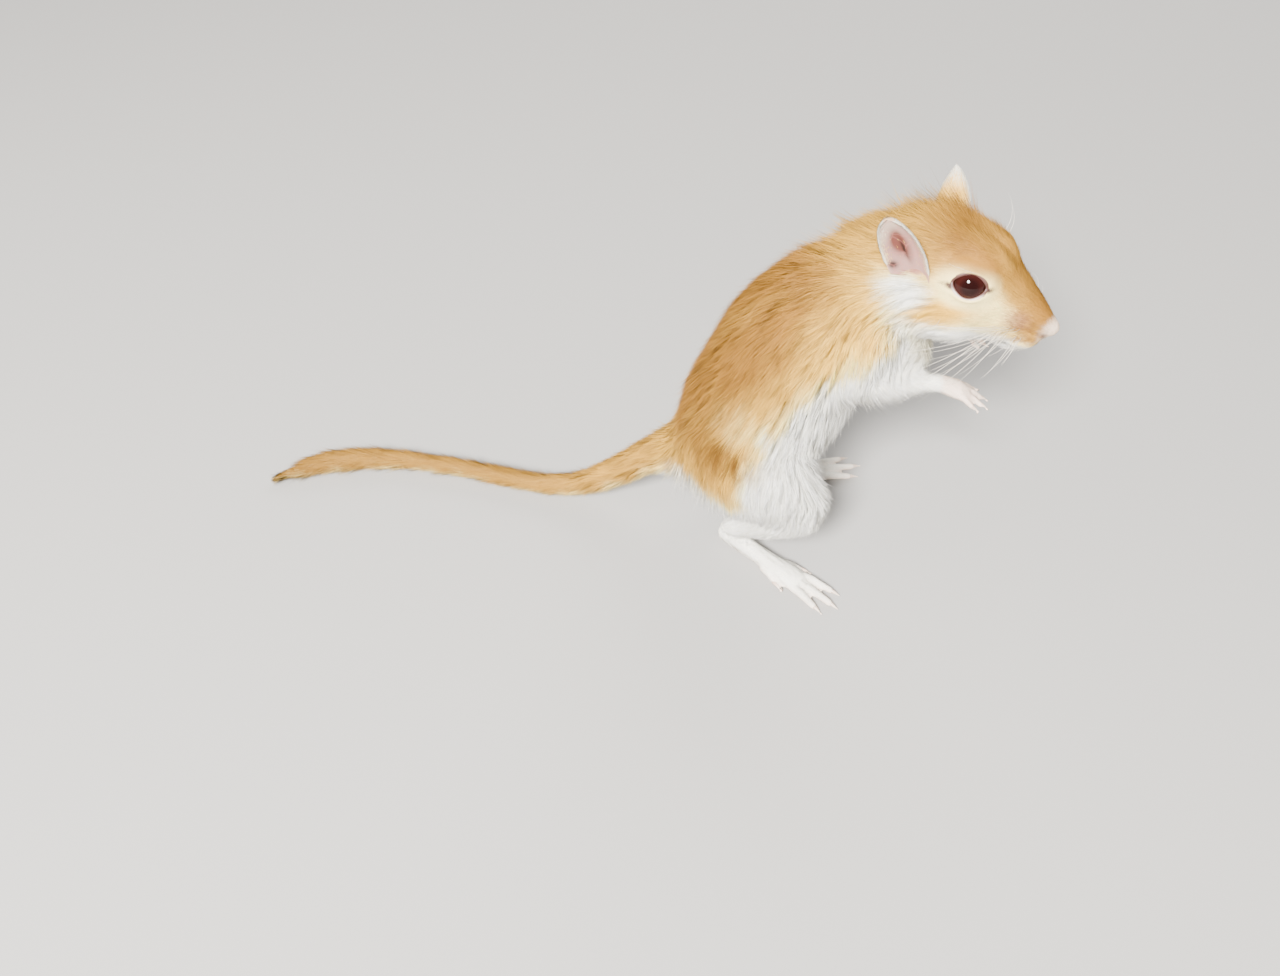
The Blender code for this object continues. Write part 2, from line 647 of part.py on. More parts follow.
def ear(side, head):
    """A leaf whose sides curl round to a tube at its root, hollow on its face, and cut clear of the head."""
    turn = head_turn()
    lean = EAR_LEANS[side]
    axis = (turn @ Vector((-lean[0], side * lean[1], lean[2]))).normalized()
    faces = turn @ Vector((EAR_FACES[0], side * EAR_FACES[1], EAR_FACES[2]))
    faces = (faces - axis * faces.dot(axis)).normalized()
    across = axis.cross(faces)
    back, out, rise = EAR_ROOT
    root = head_point(back, side * out, rise) - axis * EAR_SUNK
    start, squareness = EAR_OUTLINE
    tip_curl, root_curl, fading = EAR_CURL
    hollow, hollow_end = EAR_HOLLOW
    mesh = bmesh.new()
    grid = []
    for v in np.linspace(0.0, EAR_LAST_ROW, EAR_GRID[0]):
        half_arc = EAR_HALF_WIDTH * math.sin(math.pi * (start + (1.0 - start) * v)) ** squareness
        curl = tip_curl + root_curl * (1.0 - v) ** fading
        radius = half_arc / curl
        row = []
        for u in np.linspace(-1.0, 1.0, EAR_GRID[1]):
            sideways = radius * math.sin(curl * u)
            forward = radius * (1.0 - math.cos(curl * u)) - hollow * math.sin(math.pi * v * hollow_end)
            place = root + axis * (v * (EAR_LENGTH + EAR_SUNK)) + across * sideways + faces * forward
            row.append(mesh.verts.new(metres(place)))
        grid.append(row)
    for low, high in zip(grid, grid[1:]):
        for i in range(len(low) - 1):
            mesh.faces.new((low[i], low[i + 1], high[i + 1], high[i]))
    shell = object_from("ear" + suffix(side), mesh)
    wall = shell.modifiers.new("Wall", "SOLIDIFY")
    wall.thickness = EAR_THICKNESS * MM
    wall.offset = 0.0
    shell.modifiers.new("Triangles", "TRIANGULATE")
    applied(shell)
    socket = copy_of(head, "socket")
    clear = socket.modifiers.new("Clear", "DISPLACE")
    clear.mid_level = 0.0
    clear.strength = GAP * MM
    applied(socket)
    boolean(shell, "DIFFERENCE", socket)
    discard(socket)
    return fewer_faces(shell, TRIANGLES["ear"])


def lid_ring(side):
    """The rims of both lids, as one closed tube that lies on the ball of the eye."""
    turn = eye_turn(side)
    centre = eye_centre(side)
    mesh = bmesh.new()
    rings = []
    wide, high = (size + LID_RADIUS * LID_OUTSIDE for size in LID_OPENING)
    reach = EYE_RADIUS + GAP + LID_RADIUS * LID_RAISED
    for i in range(LID_STEPS):
        angle = 2 * math.pi * i / LID_STEPS
        flat = Vector((wide * math.cos(angle), 0, high * math.sin(angle)))
        spot = Vector((flat.x, math.sqrt(reach**2 - flat.length_squared), flat.z))
        outward = spot.normalized()
        sideways = Vector((0, 1, 0)).cross(flat.normalized()).cross(outward).normalized()
        ring = []
        for k in range(LID_SIDES):
            bend = 2 * math.pi * k / LID_SIDES
            offset = (outward * math.cos(bend) + sideways * math.sin(bend)) * LID_RADIUS
            ring.append(mesh.verts.new(metres(centre + turn @ (spot + offset))))
        rings.append(ring)
    for i in range(LID_STEPS):
        first, second = rings[i], rings[(i + 1) % LID_STEPS]
        for k in range(LID_SIDES):
            j = (k + 1) % LID_SIDES
            mesh.faces.new((first[k], first[j], second[j], second[k]))
    return object_from("lids", mesh)


def face_features(head):
    """Adds lids and lips to the head, then opens the eye sockets, mouth and nostrils."""
    turn = head_turn()
    up = turn @ Vector((0, 0, 1))
    added = [head]
    removed = []
    mouth_points = [(back, -out, rise) for back, out, rise in MOUTH_LINE[:0:-1]] + list(MOUTH_LINE)
    mouth_rows = [(*head_point(*point), *MOUTH_CUT) for point in mouth_points]
    removed.append(loft("mouth", mouth_rows, sides=8, rings=17, upright=up, cap_rings=1))
    lip_points = [(back, out * LIP_NARROWED, rise - LIP_DROP) for back, out, rise in mouth_points[2:-2]]
    lip_rows = [(*head_point(*point), LIP_RADIUS) for point in lip_points]
    added.append(loft("lip", lip_rows, sides=8, rings=11, upright=up, cap_rings=1))
    ahead = turn @ Vector((1, 0, 0))
    philtrum_rows = [(*head_point(*point), *PHILTRUM_CUT) for point in PHILTRUM_LINE]
    removed.append(loft("philtrum", philtrum_rows, sides=6, rings=3, upright=ahead, cap_rings=1))
    for side in (-1, 1):
        added.append(lid_ring(side))
        (back, out, rise), radii = NOSTRIL
        removed.append(ball("nostril", head_point(back, side * out, rise), radii, turn, 10, 6))
    fused("head", added, "MANIFOLD")
    for cutter in removed:
        boolean(head, "DIFFERENCE", cutter, "MANIFOLD")
        discard(cutter)
    for side in (-1, 1):
        aim = eye_turn(side) @ Vector((0, 1, 0))
        rise = eye_turn(side) @ Vector((0, 0, 1))
        socket = ball("socket", eye_centre(side), [EYE_RADIUS + GAP] * 3, eye_turn(side), 28, 16)
        boolean(head, "DIFFERENCE", socket, "MANIFOLD")
        rows = [(*(eye_centre(side) + aim * reach), *LID_OPENING) for reach in OPENING_REACH]
        opening = loft("opening", rows, sides=28, rings=3, upright=rise, cap_rings=0)
        boolean(head, "DIFFERENCE", opening, "MANIFOLD")
        discard(socket, opening)
    return fewer_faces(head, TRIANGLES["finished_head"])


def suffix(side):
    return "_right" if side < 0 else "_left"


def kind_of(name):
    return name.replace("_right", "").replace("_left", "")


def material(name, colour, roughness):
    made = bpy.data.materials.new(name)
    made.use_nodes = True
    shader = made.node_tree.nodes["Principled BSDF"]
    shader.inputs["Base Color"].default_value = (*colour, 1.0)
    shader.inputs["Roughness"].default_value = roughness
    shader.inputs["Metallic"].default_value = 0.0
    return made


def parted(whole):
    """Cuts the whole into its named parts and thins each one's triangles."""
    nodes = {}
    for side in (-1, 1):
        end = suffix(side)
        nodes["forearm" + end] = sleeved(whole, "forearm" + end, foreleg(FOREARM_LINE, side))
        cut_off(nodes["forearm" + end], *wrist(side))
        arm_rows = foreleg(UPPER_ARM_LINE, side)
        nodes["upper_arm" + end] = sleeved(whole, "upper_arm" + end, arm_rows, (1, 0, 0))
        nodes["shank" + end] = sleeved(whole, "shank" + end, mirrored(SHANK_LINE, side))
        cut_off(nodes["shank" + end], *ankle(side))
        nodes["thigh" + end] = sleeved(whole, "thigh" + end, mirrored(THIGH_LINE, side))
    nodes["head"] = beyond(whole, "head", *HEAD_CUT)
    nodes["neck"] = beyond(whole, "neck", *NECK_CUT)
    for fraction, name in reversed(list(zip(TAIL_CUTS, ("tail_root", "tail_middle", "tail_end")))):
        nodes[name] = beyond(whole, name, *place_along(TAIL_LINE, fraction), size=TAIL_REGION)
        cut_off(nodes[name], FLOOR_UNDER_TAIL, (0, 0, -1), size=FLOOR_SPAN)
    nodes["torso_front"] = beyond(whole, "torso_front", *WAIST_CUT)
    whole.name = "torso_rear"
    nodes["torso_rear"] = whole
    for name, node in nodes.items():
        levelled(fewer_faces(node, TRIANGLES[kind_of(name)]))
    return nodes


def stand_on_origin(nodes):
    """Moves all the nodes so that the middle of their whole box, at floor level, is the origin."""
    corners = [vertex.co for node in nodes.values() for vertex in node.data.vertices]
    low = Vector([min(corner[axis] for corner in corners) for axis in range(3)])
    high = Vector([max(corner[axis] for corner in corners) for axis in range(3)])
    move = Vector((-(low.x + high.x) / 2, -(low.y + high.y) / 2, -low.z))
    for node in nodes.values():
        node.data.transform(Matrix.Translation(move))


def collect(nodes):
    """Puts the nodes in the animal's collection and gives each its finish."""
    group = bpy.data.collections.new("gerbil")
    bpy.context.scene.collection.children.link(group)
    finishes = {name: material(name, *values) for name, values in FINISHES.items()}
    for name, node in nodes.items():
        bpy.context.scene.collection.objects.unlink(node)
        group.objects.link(node)
        node.data.materials.clear()
        node.data.materials.append(finishes[FINISH_OF.get(kind_of(name), "golden_fur")])
        node.data.shade_smooth()
        node.data.set_sharp_from_angle(angle=math.radians(SHARP_ANGLE))


def main():
    for thing in list(bpy.data.objects):
        bpy.data.objects.remove(thing)
    nodes = parted(whole_flesh())
    head = nodes["head"]
    for side in (-1, 1):
        end = suffix(side)
        nodes["ear" + end] = ear(side, head)
        nodes["eye" + end] = ball("eye" + end, eye_centre(side), [EYE_RADIUS] * 3, eye_turn(side), 20, 12)
        nodes["hind_foot" + end] = hind_foot(side)
        nodes["fore_paw" + end] = fore_paw(side)
    face_features(head)
    stand_on_origin(nodes)
    collect(nodes)


main()
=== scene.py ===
import math
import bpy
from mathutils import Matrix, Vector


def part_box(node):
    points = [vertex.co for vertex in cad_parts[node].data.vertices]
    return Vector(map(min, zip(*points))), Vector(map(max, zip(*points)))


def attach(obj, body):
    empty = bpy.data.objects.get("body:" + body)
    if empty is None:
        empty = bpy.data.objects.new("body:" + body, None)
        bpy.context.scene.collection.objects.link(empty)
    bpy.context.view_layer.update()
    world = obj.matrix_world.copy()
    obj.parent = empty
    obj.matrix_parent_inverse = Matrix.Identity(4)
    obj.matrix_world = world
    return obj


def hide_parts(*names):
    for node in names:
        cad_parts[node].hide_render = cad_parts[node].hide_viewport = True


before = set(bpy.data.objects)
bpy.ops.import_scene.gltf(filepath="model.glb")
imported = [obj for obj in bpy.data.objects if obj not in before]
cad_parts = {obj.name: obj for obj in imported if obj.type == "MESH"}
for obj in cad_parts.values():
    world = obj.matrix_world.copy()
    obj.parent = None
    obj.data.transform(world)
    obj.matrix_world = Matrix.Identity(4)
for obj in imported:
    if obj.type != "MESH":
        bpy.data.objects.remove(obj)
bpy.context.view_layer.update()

from types import SimpleNamespace

import bmesh
import bpy
import numpy as np
from mathutils import Vector

# Bearings. The gerbil sits up on its haunches with its head turned to the right. All of it is placed from the
# balls of its eyes: from them come the tip of the nose, the ground under the heels, and the lines that its
# head, trunk, tail and legs follow. Lengths are in millimetres.
MM = 0.001
SIDES = {"right": -1, "left": 1}
HEAD_YAW, HEAD_PITCH, HEAD_ROLL = -20.0, -4.0, -4.0
EYE_FROM_NOSE = np.array((-16.4, 6.7, 6.4))
NOSE_FROM_HEELS = np.array((56.3, -6.0, 66.6))


def turn_about(axis, degrees):
    """The matrix of a turn about one of the three axes: 1 on that axis, cosine and sine across it."""
    c, s = math.cos(math.radians(degrees)), math.sin(math.radians(degrees))
    i, j = (axis + 1) % 3, (axis + 2) % 3
    turn = np.eye(3)
    turn[i, i], turn[i, j], turn[j, i], turn[j, j] = c, -s, s, c
    return turn


head_axes = turn_about(2, HEAD_YAW) @ turn_about(1, -HEAD_PITCH) @ turn_about(0, HEAD_ROLL)
eye_middle = {}
for word, side in SIDES.items():
    low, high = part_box("eye_" + word)
    eye_middle[side] = np.array((low + high) / 2) / MM
nose_tip = eye_middle[-1] - head_axes @ (EYE_FROM_NOSE * (1, -1, 1))
heels = nose_tip - NOSE_FROM_HEELS


def on_head(back, left, up):
    """A place of the head, told as distance back, left and up from the tip of the nose."""
    return nose_tip + head_axes @ np.array((-back, left, up))


def head_places(points):
    """Distance back, out to either side and up from the tip of the nose, for each point."""
    ahead, left, up = ((points - nose_tip) @ head_axes).T
    return -ahead, np.abs(left), up


def body_places(points):
    """Distance ahead, out to either side and up from the ground under the heels, for each point."""
    ahead, left, up = (points - heels).T
    return ahead, np.abs(left), up


def step(x, start, end):
    """A soft step: 0 before start and 1 after end, along 3t squared less 2t cubed."""
    t = np.clip((x - start) / (end - start), 0.0, 1.0)
    return t * t * (3.0 - 2.0 * t)


def unit(vectors):
    return vectors / np.maximum(np.linalg.norm(vectors, axis=-1, keepdims=True), 1e-9)


# Each line runs the way its hair lies. The head's rows are the distance back from the tip of the nose and the
# radius of the body there; the next ones are ahead, left and up from the heels and the radius, on the right.
HEAD_ROWS = ((0.9, 2.1), (2.4, 3.4), (5.0, 5.0), (9.0, 6.8), (13.5, 8.6), (18.5, 10.2), (24.0, 11.6),
             (29.0, 12.0), (33.0, 11.4))
TRUNK_ROWS = ((29.0, 3.2, 67.0, 12.0), (22.5, 2.3, 63.5, 13.6), (16.0, 1.0, 57.5, 15.6),
              (11.0, 0.3, 49.5, 16.9), (7.5, 0.0, 40.5, 17.6), (2.5, 0.0, 31.0, 17.2),
              (-5.0, 0.0, 22.5, 13.8), (-13.0, 0.0, 17.6, 6.6))
TAIL_ROWS = ((-9.0, 0.0, 20.3, 6.6), (-16.5, 0.0, 17.3, 5.1), (-24.0, -0.7, 11.6, 4.4),
             (-31.0, -1.8, 7.0, 3.9), (-39.0, -2.6, 3.9, 3.4), (-50.0, -2.4, 2.9, 3.1),
             (-65.0, -1.2, 2.7, 3.0), (-80.0, -1.4, 2.7, 3.1), (-92.0, -4.2, 3.0, 3.5),
             (-101.0, -8.4, 2.8, 3.2), (-106.0, -12.0, 1.9, 2.1))
THIGH_ROWS = ((-7.0, -8.0, 26.0, 8.0), (-0.5, -11.2, 27.0, 10.5), (7.0, -13.8, 26.4, 10.5),
              (13.0, -15.2, 24.4, 8.4), (16.5, -15.6, 22.4, 6.0))
SHANK_ROWS = ((15.5, -15.0, 19.5, 5.8), (10.0, -13.2, 13.8, 4.8), (5.0, -11.0, 9.0, 3.6),
              (1.0, -9.2, 5.2, 2.9))
UPPER_ARM_ROWS = ((23.5, -8.0, 60.6, 6.9), (22.0, -10.2, 56.0, 5.6), (21.6, -10.8, 52.2, 4.4))
FOREARM_ROWS = ((21.4, -10.8, 51.8, 3.9), (27.0, -10.0, 51.6, 3.2), (33.0, -8.6, 52.0, 2.35),
                (38.5, -8.0, 52.4, 1.8))
LEFT_FORELEG = (0.0, 3.4, 1.5)
# The heel's place. The foot's rows are along it, up and the radius; the paw's are along it and the radius.
HEEL = (-0.6, -8.4)
FOOT_SPLAY = {-1: 30.0, 1: 25.0}
FOOT_ROWS = ((0.2, 2.6, 2.2), (12.0, 1.8, 2.1), (20.5, 1.4, 2.4), (28.0, 0.9, 2.6))
PAW_DROOP = 20.0
PAW_ROWS = ((0.0, 1.9), (4.0, 2.2), (10.0, 2.2))


def on_side(rows, side):
    """Rows given for the right side, carried over the midline for the left, from the heels' place."""
    rows = np.array(rows, float)
    rows[:, 1] *= -side
    rows[:, :3] += heels
    return rows


def foreleg(rows, side):
    """Rows of a foreleg; the left one is moved by a little, as the chest turns to the right."""
    rows = on_side(rows, side)
    if side > 0:
        rows[:, :3] += LEFT_FORELEG
    return rows


def foot_axes(side):
    """The hind foot's heel on the ground and its ways ahead and outwards."""
    splay = math.radians(FOOT_SPLAY[side]) * side
    c, s = math.cos(splay), math.sin(splay)
    return heels + (HEEL[0], HEEL[1] * -side, 0.0), np.array((c, s, 0.0)), np.array((-s, c, 0.0)) * -side


def paw_axes(side):
    """The end of the forearm, the way the hand droops ahead of it, and the way across."""
    wrist, end = foreleg(FOREARM_ROWS, side)[-2:, :3]
    level = unit((end - wrist) * (1, 1, 0))
    droop = math.radians(PAW_DROOP)
    way = level * math.cos(droop) - np.array((0, 0, math.sin(droop)))
    return end, way, unit(np.cross(way, (0, 0, 1))) * side


lines = {"head": np.array([(*on_head(back, 0, 0), radius) for back, radius in HEAD_ROWS]),
         "trunk": on_side(TRUNK_ROWS, -1), "tail": on_side(TAIL_ROWS, -1)}
for word, side in SIDES.items():
    lines["thigh_" + word] = on_side(THIGH_ROWS, side)
    lines["shank_" + word] = on_side(SHANK_ROWS, side)
    lines["upper_arm_" + word] = foreleg(UPPER_ARM_ROWS, side)
    lines["forearm_" + word] = foreleg(FOREARM_ROWS, side)
    heel, ahead, _ = foot_axes(side)
    lines["foot_" + word] = np.array([(*(heel + ahead * far + (0, 0, high)), radius)
                                      for far, high, radius in FOOT_ROWS])
    end, way, _ = paw_axes(side)
    lines["paw_" + word] = np.array([(*(end + way * far), radius) for far, radius in PAW_ROWS])
KINDS = np.array([name.rsplit("_", 1)[0] for name in lines])


def near_line(points, line):
    """The nearest place on a line: the foot of the perpendicular on each stretch, kept where it is closest.

    Gives the distance, the share of the line's length, the radius there, the line's way and the way out.
    """
    places, ways = line[:, :3], unit(np.gradient(line[:, :3], axis=0))
    stretch = np.diff(places, axis=0)
    reach = np.concatenate([[0.0], np.cumsum(np.linalg.norm(stretch, axis=1))])
    found = np.full((len(points), 9), np.inf)
    for i, along in enumerate(stretch):
        t = np.clip((points - places[i]) @ along / (along @ along), 0.0, 1.0)[:, None]
        away = points - places[i] - t * along
        far = np.linalg.norm(away, axis=1)[:, None]
        share = (reach[i] + t * (reach[i + 1] - reach[i])) / reach[-1]
        radius = line[i, 3] + t * (line[i + 1, 3] - line[i, 3])
        way = ways[i] + t * (ways[i + 1] - ways[i])
        closer = far[:, 0] < found[:, 0]
        found[closer] = np.hstack([far, share, radius, way, away])[closer]
    return found[:, 0], found[:, 1], found[:, 2], unit(found[:, 3:6]), found[:, 6:9]


# The coat's measures on each kind of line, at its start and its end: how far the tips stand off the skin, the
# hairs' length, the tufts' half width and the tufts on a square millimetre; and a way added to the lie.
COAT = {
    "head": ((0.3, 1.6), (1.0, 4.8), (0.045, 0.075), (34.0, 24.0), (0.0, 0.0, 0.0)),
    "trunk": ((1.5, 1.6), (5.2, 6.4), (0.078, 0.085), (22.0, 20.0), (0.0, 0.0, -0.4)),
    "tail": ((1.1, 1.7), (3.0, 7.5), (0.07, 0.075), (18.0, 26.0), (0.0, 0.0, 0.0)),
    "thigh": ((1.5, 1.3), (5.8, 4.6), (0.085, 0.08), (20.0, 20.0), (-0.8, 0.0, -1.3)),
    "shank": ((0.9, 0.45), (3.2, 1.4), (0.07, 0.05), (22.0, 26.0), (0.0, 0.0, 0.0)),
    "foot": ((0.22, 0.14), (1.0, 0.6), (0.045, 0.04), (30.0, 26.0), (0.0, 0.0, 0.0)),
    "upper_arm": ((1.4, 1.0), (5.2, 4.0), (0.08, 0.07), (22.0, 24.0), (0.4, 0.0, -0.3)),
    "forearm": ((0.8, 0.35), (2.8, 1.3), (0.06, 0.045), (26.0, 30.0), (0.0, 0.0, 0.0)),
    "paw": ((0.2, 0.1), (0.8, 0.45), (0.04, 0.035), (34.0, 26.0), (0.0, 0.0, 0.0)),
}
SHORT_FACE = 1.25
BLENDING = 7.0
# Round the eyes the four measures shrink to these shares, between two distances from the eye's middle.
EYE_CLEAR = (4.2, 9.5)
AT_EYE = np.array((0.05, 0.35, 0.6, 1.5))


def coat_at(points):
    """The coat at each point: measures and lie of all lines, mixed by nearness in radii to the power -7.

    It also tells the line each point is home to, its share and turn on it, and how much of it is the head.
    """
    total = np.zeros((len(points), 8))
    nearest = np.full(len(points), np.inf)
    home = np.zeros(len(points), int)
    share_at, turn_at = np.zeros(len(points)), np.zeros(len(points))
    for number, (name, line) in enumerate(lines.items()):
        far, share, radius, way, away = near_line(points, line)
        *measures, added = COAT[KINDS[number]]
        run = share[:, None] ** (SHORT_FACE if name == "head" else 1.0)
        sizes = np.hstack([start + (end - start) * run for start, end in measures])
        lie = unit(way + np.array(added))
        ratio = far / radius
        weight = (ratio + 0.05)[:, None] ** -BLENDING
        total += np.hstack([weight, sizes * weight, lie * weight])
        if name == "head":
            head = weight[:, 0]
        mine = ratio < nearest
        nearest[mine] = ratio[mine]
        home[mine] = number
        share_at[mine] = share[mine]
        sideways = unit(np.cross((-0.5, 0.0, 1.0), way))
        turn = np.arctan2((away * sideways).sum(1), (away * np.cross(way, sideways)).sum(1))
        turn_at[mine] = turn[mine]
    sizes = total[:, 1:5] / total[:, :1]
    for middle in eye_middle.values():
        near = step(np.linalg.norm(points - middle, axis=1), *EYE_CLEAR)[:, None]
        sizes = sizes * (AT_EYE + (1.0 - AT_EYE) * near)
    depth, length, width, density = sizes.T
    return SimpleNamespace(depth=depth, length=length, width=width, density=density, lie=unit(total[:, 5:8]),
                           home=home, share=share_at, turn=turn_at, head=step(head / total[:, 0], 0.25, 0.75))


# Markings. A golden coat over a white underside: the border runs from the whisker pad below the eye and the
# ear, down the shoulder and along the flank to the back of the thigh. Both sides are marked alike.
GOLD_BACK = np.array((0.30, 0.140, 0.020))
GOLD_LIGHT = np.array((0.80, 0.47, 0.072))
TAIL_GOLD = GOLD_BACK * 0.7 + GOLD_LIGHT * 0.3
CHEEK_GOLD = GOLD_LIGHT * (0.92, 0.84, 0.5)
CREAM = np.array((0.92, 0.71, 0.27))
RING_CREAM = CREAM * (1.0, 1.08, 1.25)
WHITE = np.array((0.94, 0.93, 0.84))
BROWN = np.array((0.17, 0.072, 0.008))
ORANGE_PAD = np.array((0.15, 0.064, 0.010))
PINK = np.array((0.27, 0.12, 0.075))
LID_MAUVE = np.array((0.055, 0.026, 0.024))
NOSE_PALE = np.array((0.62, 0.50, 0.40))
FOOT_PINK = np.array((0.92, 0.62, 0.50))
# Painted shade: the dark brown of the mouth line, the nostrils and the crease under the nose.
CREASE_SHADE_BROWN = np.array((0.20, 0.10, 0.065))
CUP_PINK = np.array((0.34, 0.14, 0.10))
# Ovals of the head: the middle back, out and up from the tip of the nose, the radii and the rim's share.
BRIDGE = (10.0, 0.0, 6.0), (8.5, 4.2, 6.0), 0.6
# The furrow's oval is painted light: a lighter patch between the brows, against the shade that falls in the
# furrow.
FURROW_PAINTED_LIGHT = (14.7, 2.0, 11.0), (4.4, 2.2, 3.0), 0.6
CHEEK = (19.8, 10.0, 1.1), (6.2, 5.5, 3.5), 0.5
BELOW_EAR = (25.2, 12.0, 2.4), (4.4, 6.0, 3.0), 0.35
EYE_RING = (16.2, 8.0, 5.9), (5.5, 6.0, 3.8), 0.32
FRONT_CORNER = (12.7, 8.2, 7.0), (1.3, 1.6, 0.55), 0.5
BACK_CORNER = (18.7, 10.0, 6.4), (1.3, 1.6, 0.55), 0.5
MUZZLE_PAD = (4.6, 4.2, -0.9), (3.6, 3.4, 2.4), 0.6
BLUSH = (6.2, 5.0, 1.6), (2.2, 2.5, 1.6), 0.6
# Painted shadow in the crease under the nose, by the nostrils and the mouth.
NOSTRIL_MOUTH_SHADOW = (1.9, 1.6, -0.95), (1.0, 1.0, 0.6), 0.5
EAR_CUP = (26.2, 10.7, 7.0), (2.9, 2.4, 1.7)
# Ovals of the body, ahead, out and up from the heels; the first two are in side view, ahead and up alone.
HAUNCH = (3.0, 45.0), (4.0, 3.89), 0.6
DUSK = (-1.5, 36.5), (8.5, 3.18), 0.6
SKIRT = (-8.0, 12.5, 20.6), (7.0, 8.0, 4.4), 0.35
# Outlines in side view: of the pale face, back and up from the nose, and of the white body, ahead and up.
PALE_FACE = ((2.0, -3.0), (5.8, -2.4), (7.2, 0.2), (9.0, 3.2), (11.4, 5.2), (20.6, 5.0), (24.0, 5.4),
             (27.0, 5.8), (29.6, 4.8), (30.2, 2.2), (28.6, 0.4), (27.2, -2.0), (26.2, -5.0), (27.0, -12.0),
             (30.0, -22.0), (0.0, -22.0), (-3.0, -3.4))
WHITE_BODY = ((29.5, 69.0), (29.2, 64.3), (27.4, 62.4), (22.7, 59.7), (19.6, 55.9), (15.4, 53.0),
              (11.9, 49.0), (9.2, 44.4), (6.8, 37.4), (5.0, 32.5), (2.8, 27.0), (0.6, 22.5), (-2.5, 24.4),
              (-6.4, 24.0), (-10.0, 19.6), (-14.0, 15.6), (-14.0, -6.0), (70.0, -6.0), (70.0, 69.0))


def inside(corners, a, b):
    """How far inside a flat outline each place lies: the distance to its nearest edge, negative outside."""
    corners = np.array(corners, float)
    far = np.full(len(a), np.inf)
    within = np.zeros(len(a), bool)
    for (a0, b0), (a1, b1) in zip(corners, np.roll(corners, -1, axis=0)):
        t = ((a - a0) * (a1 - a0) + (b - b0) * (b1 - b0)) / ((a1 - a0) ** 2 + (b1 - b0) ** 2)
        t = np.clip(t, 0.0, 1.0)
        far = np.minimum(far, np.hypot(a - a0 - t * (a1 - a0), b - b0 - t * (b1 - b0)))
        crosses = (b0 > b) != (b1 > b)
        within ^= crosses & (a < a0 + (a1 - a0) * (b - b0) / (b1 - b0 if b1 != b0 else 1.0))
    return np.where(within, far, -far)


def waves(points, size, seed, octaves=3):
    """Smooth noise from -1 to 1: the mean of sines along seeded random ways, each octave twice as fine."""
    draw = np.random.default_rng(seed)
    total = np.zeros(len(points))
    for octave in range(octaves):
        ways = unit(draw.normal(size=(5, 3))) * (2 * math.pi * 2**octave / size)
        phases = draw.uniform(0, 2 * math.pi, 5)
        total += np.sin(points @ ways.T + phases).sum(1) / (5 * 2**octave) * 1.6
    return np.clip(total, -1.0, 1.0)


def spot(places, middle, radii, soft):
    """A soft oval spot: 1 inside its radii and 0 beyond them, with a rim of that share."""
    far = np.sqrt(sum(((a - centre) / radius) ** 2 for a, centre, radius in zip(places, middle, radii)))
    return 1.0 - step(far, 1.0 - soft, 1.0 + soft)


def paint(under, over, share):
    return under + (over - under) * np.asarray(share)[:, None]


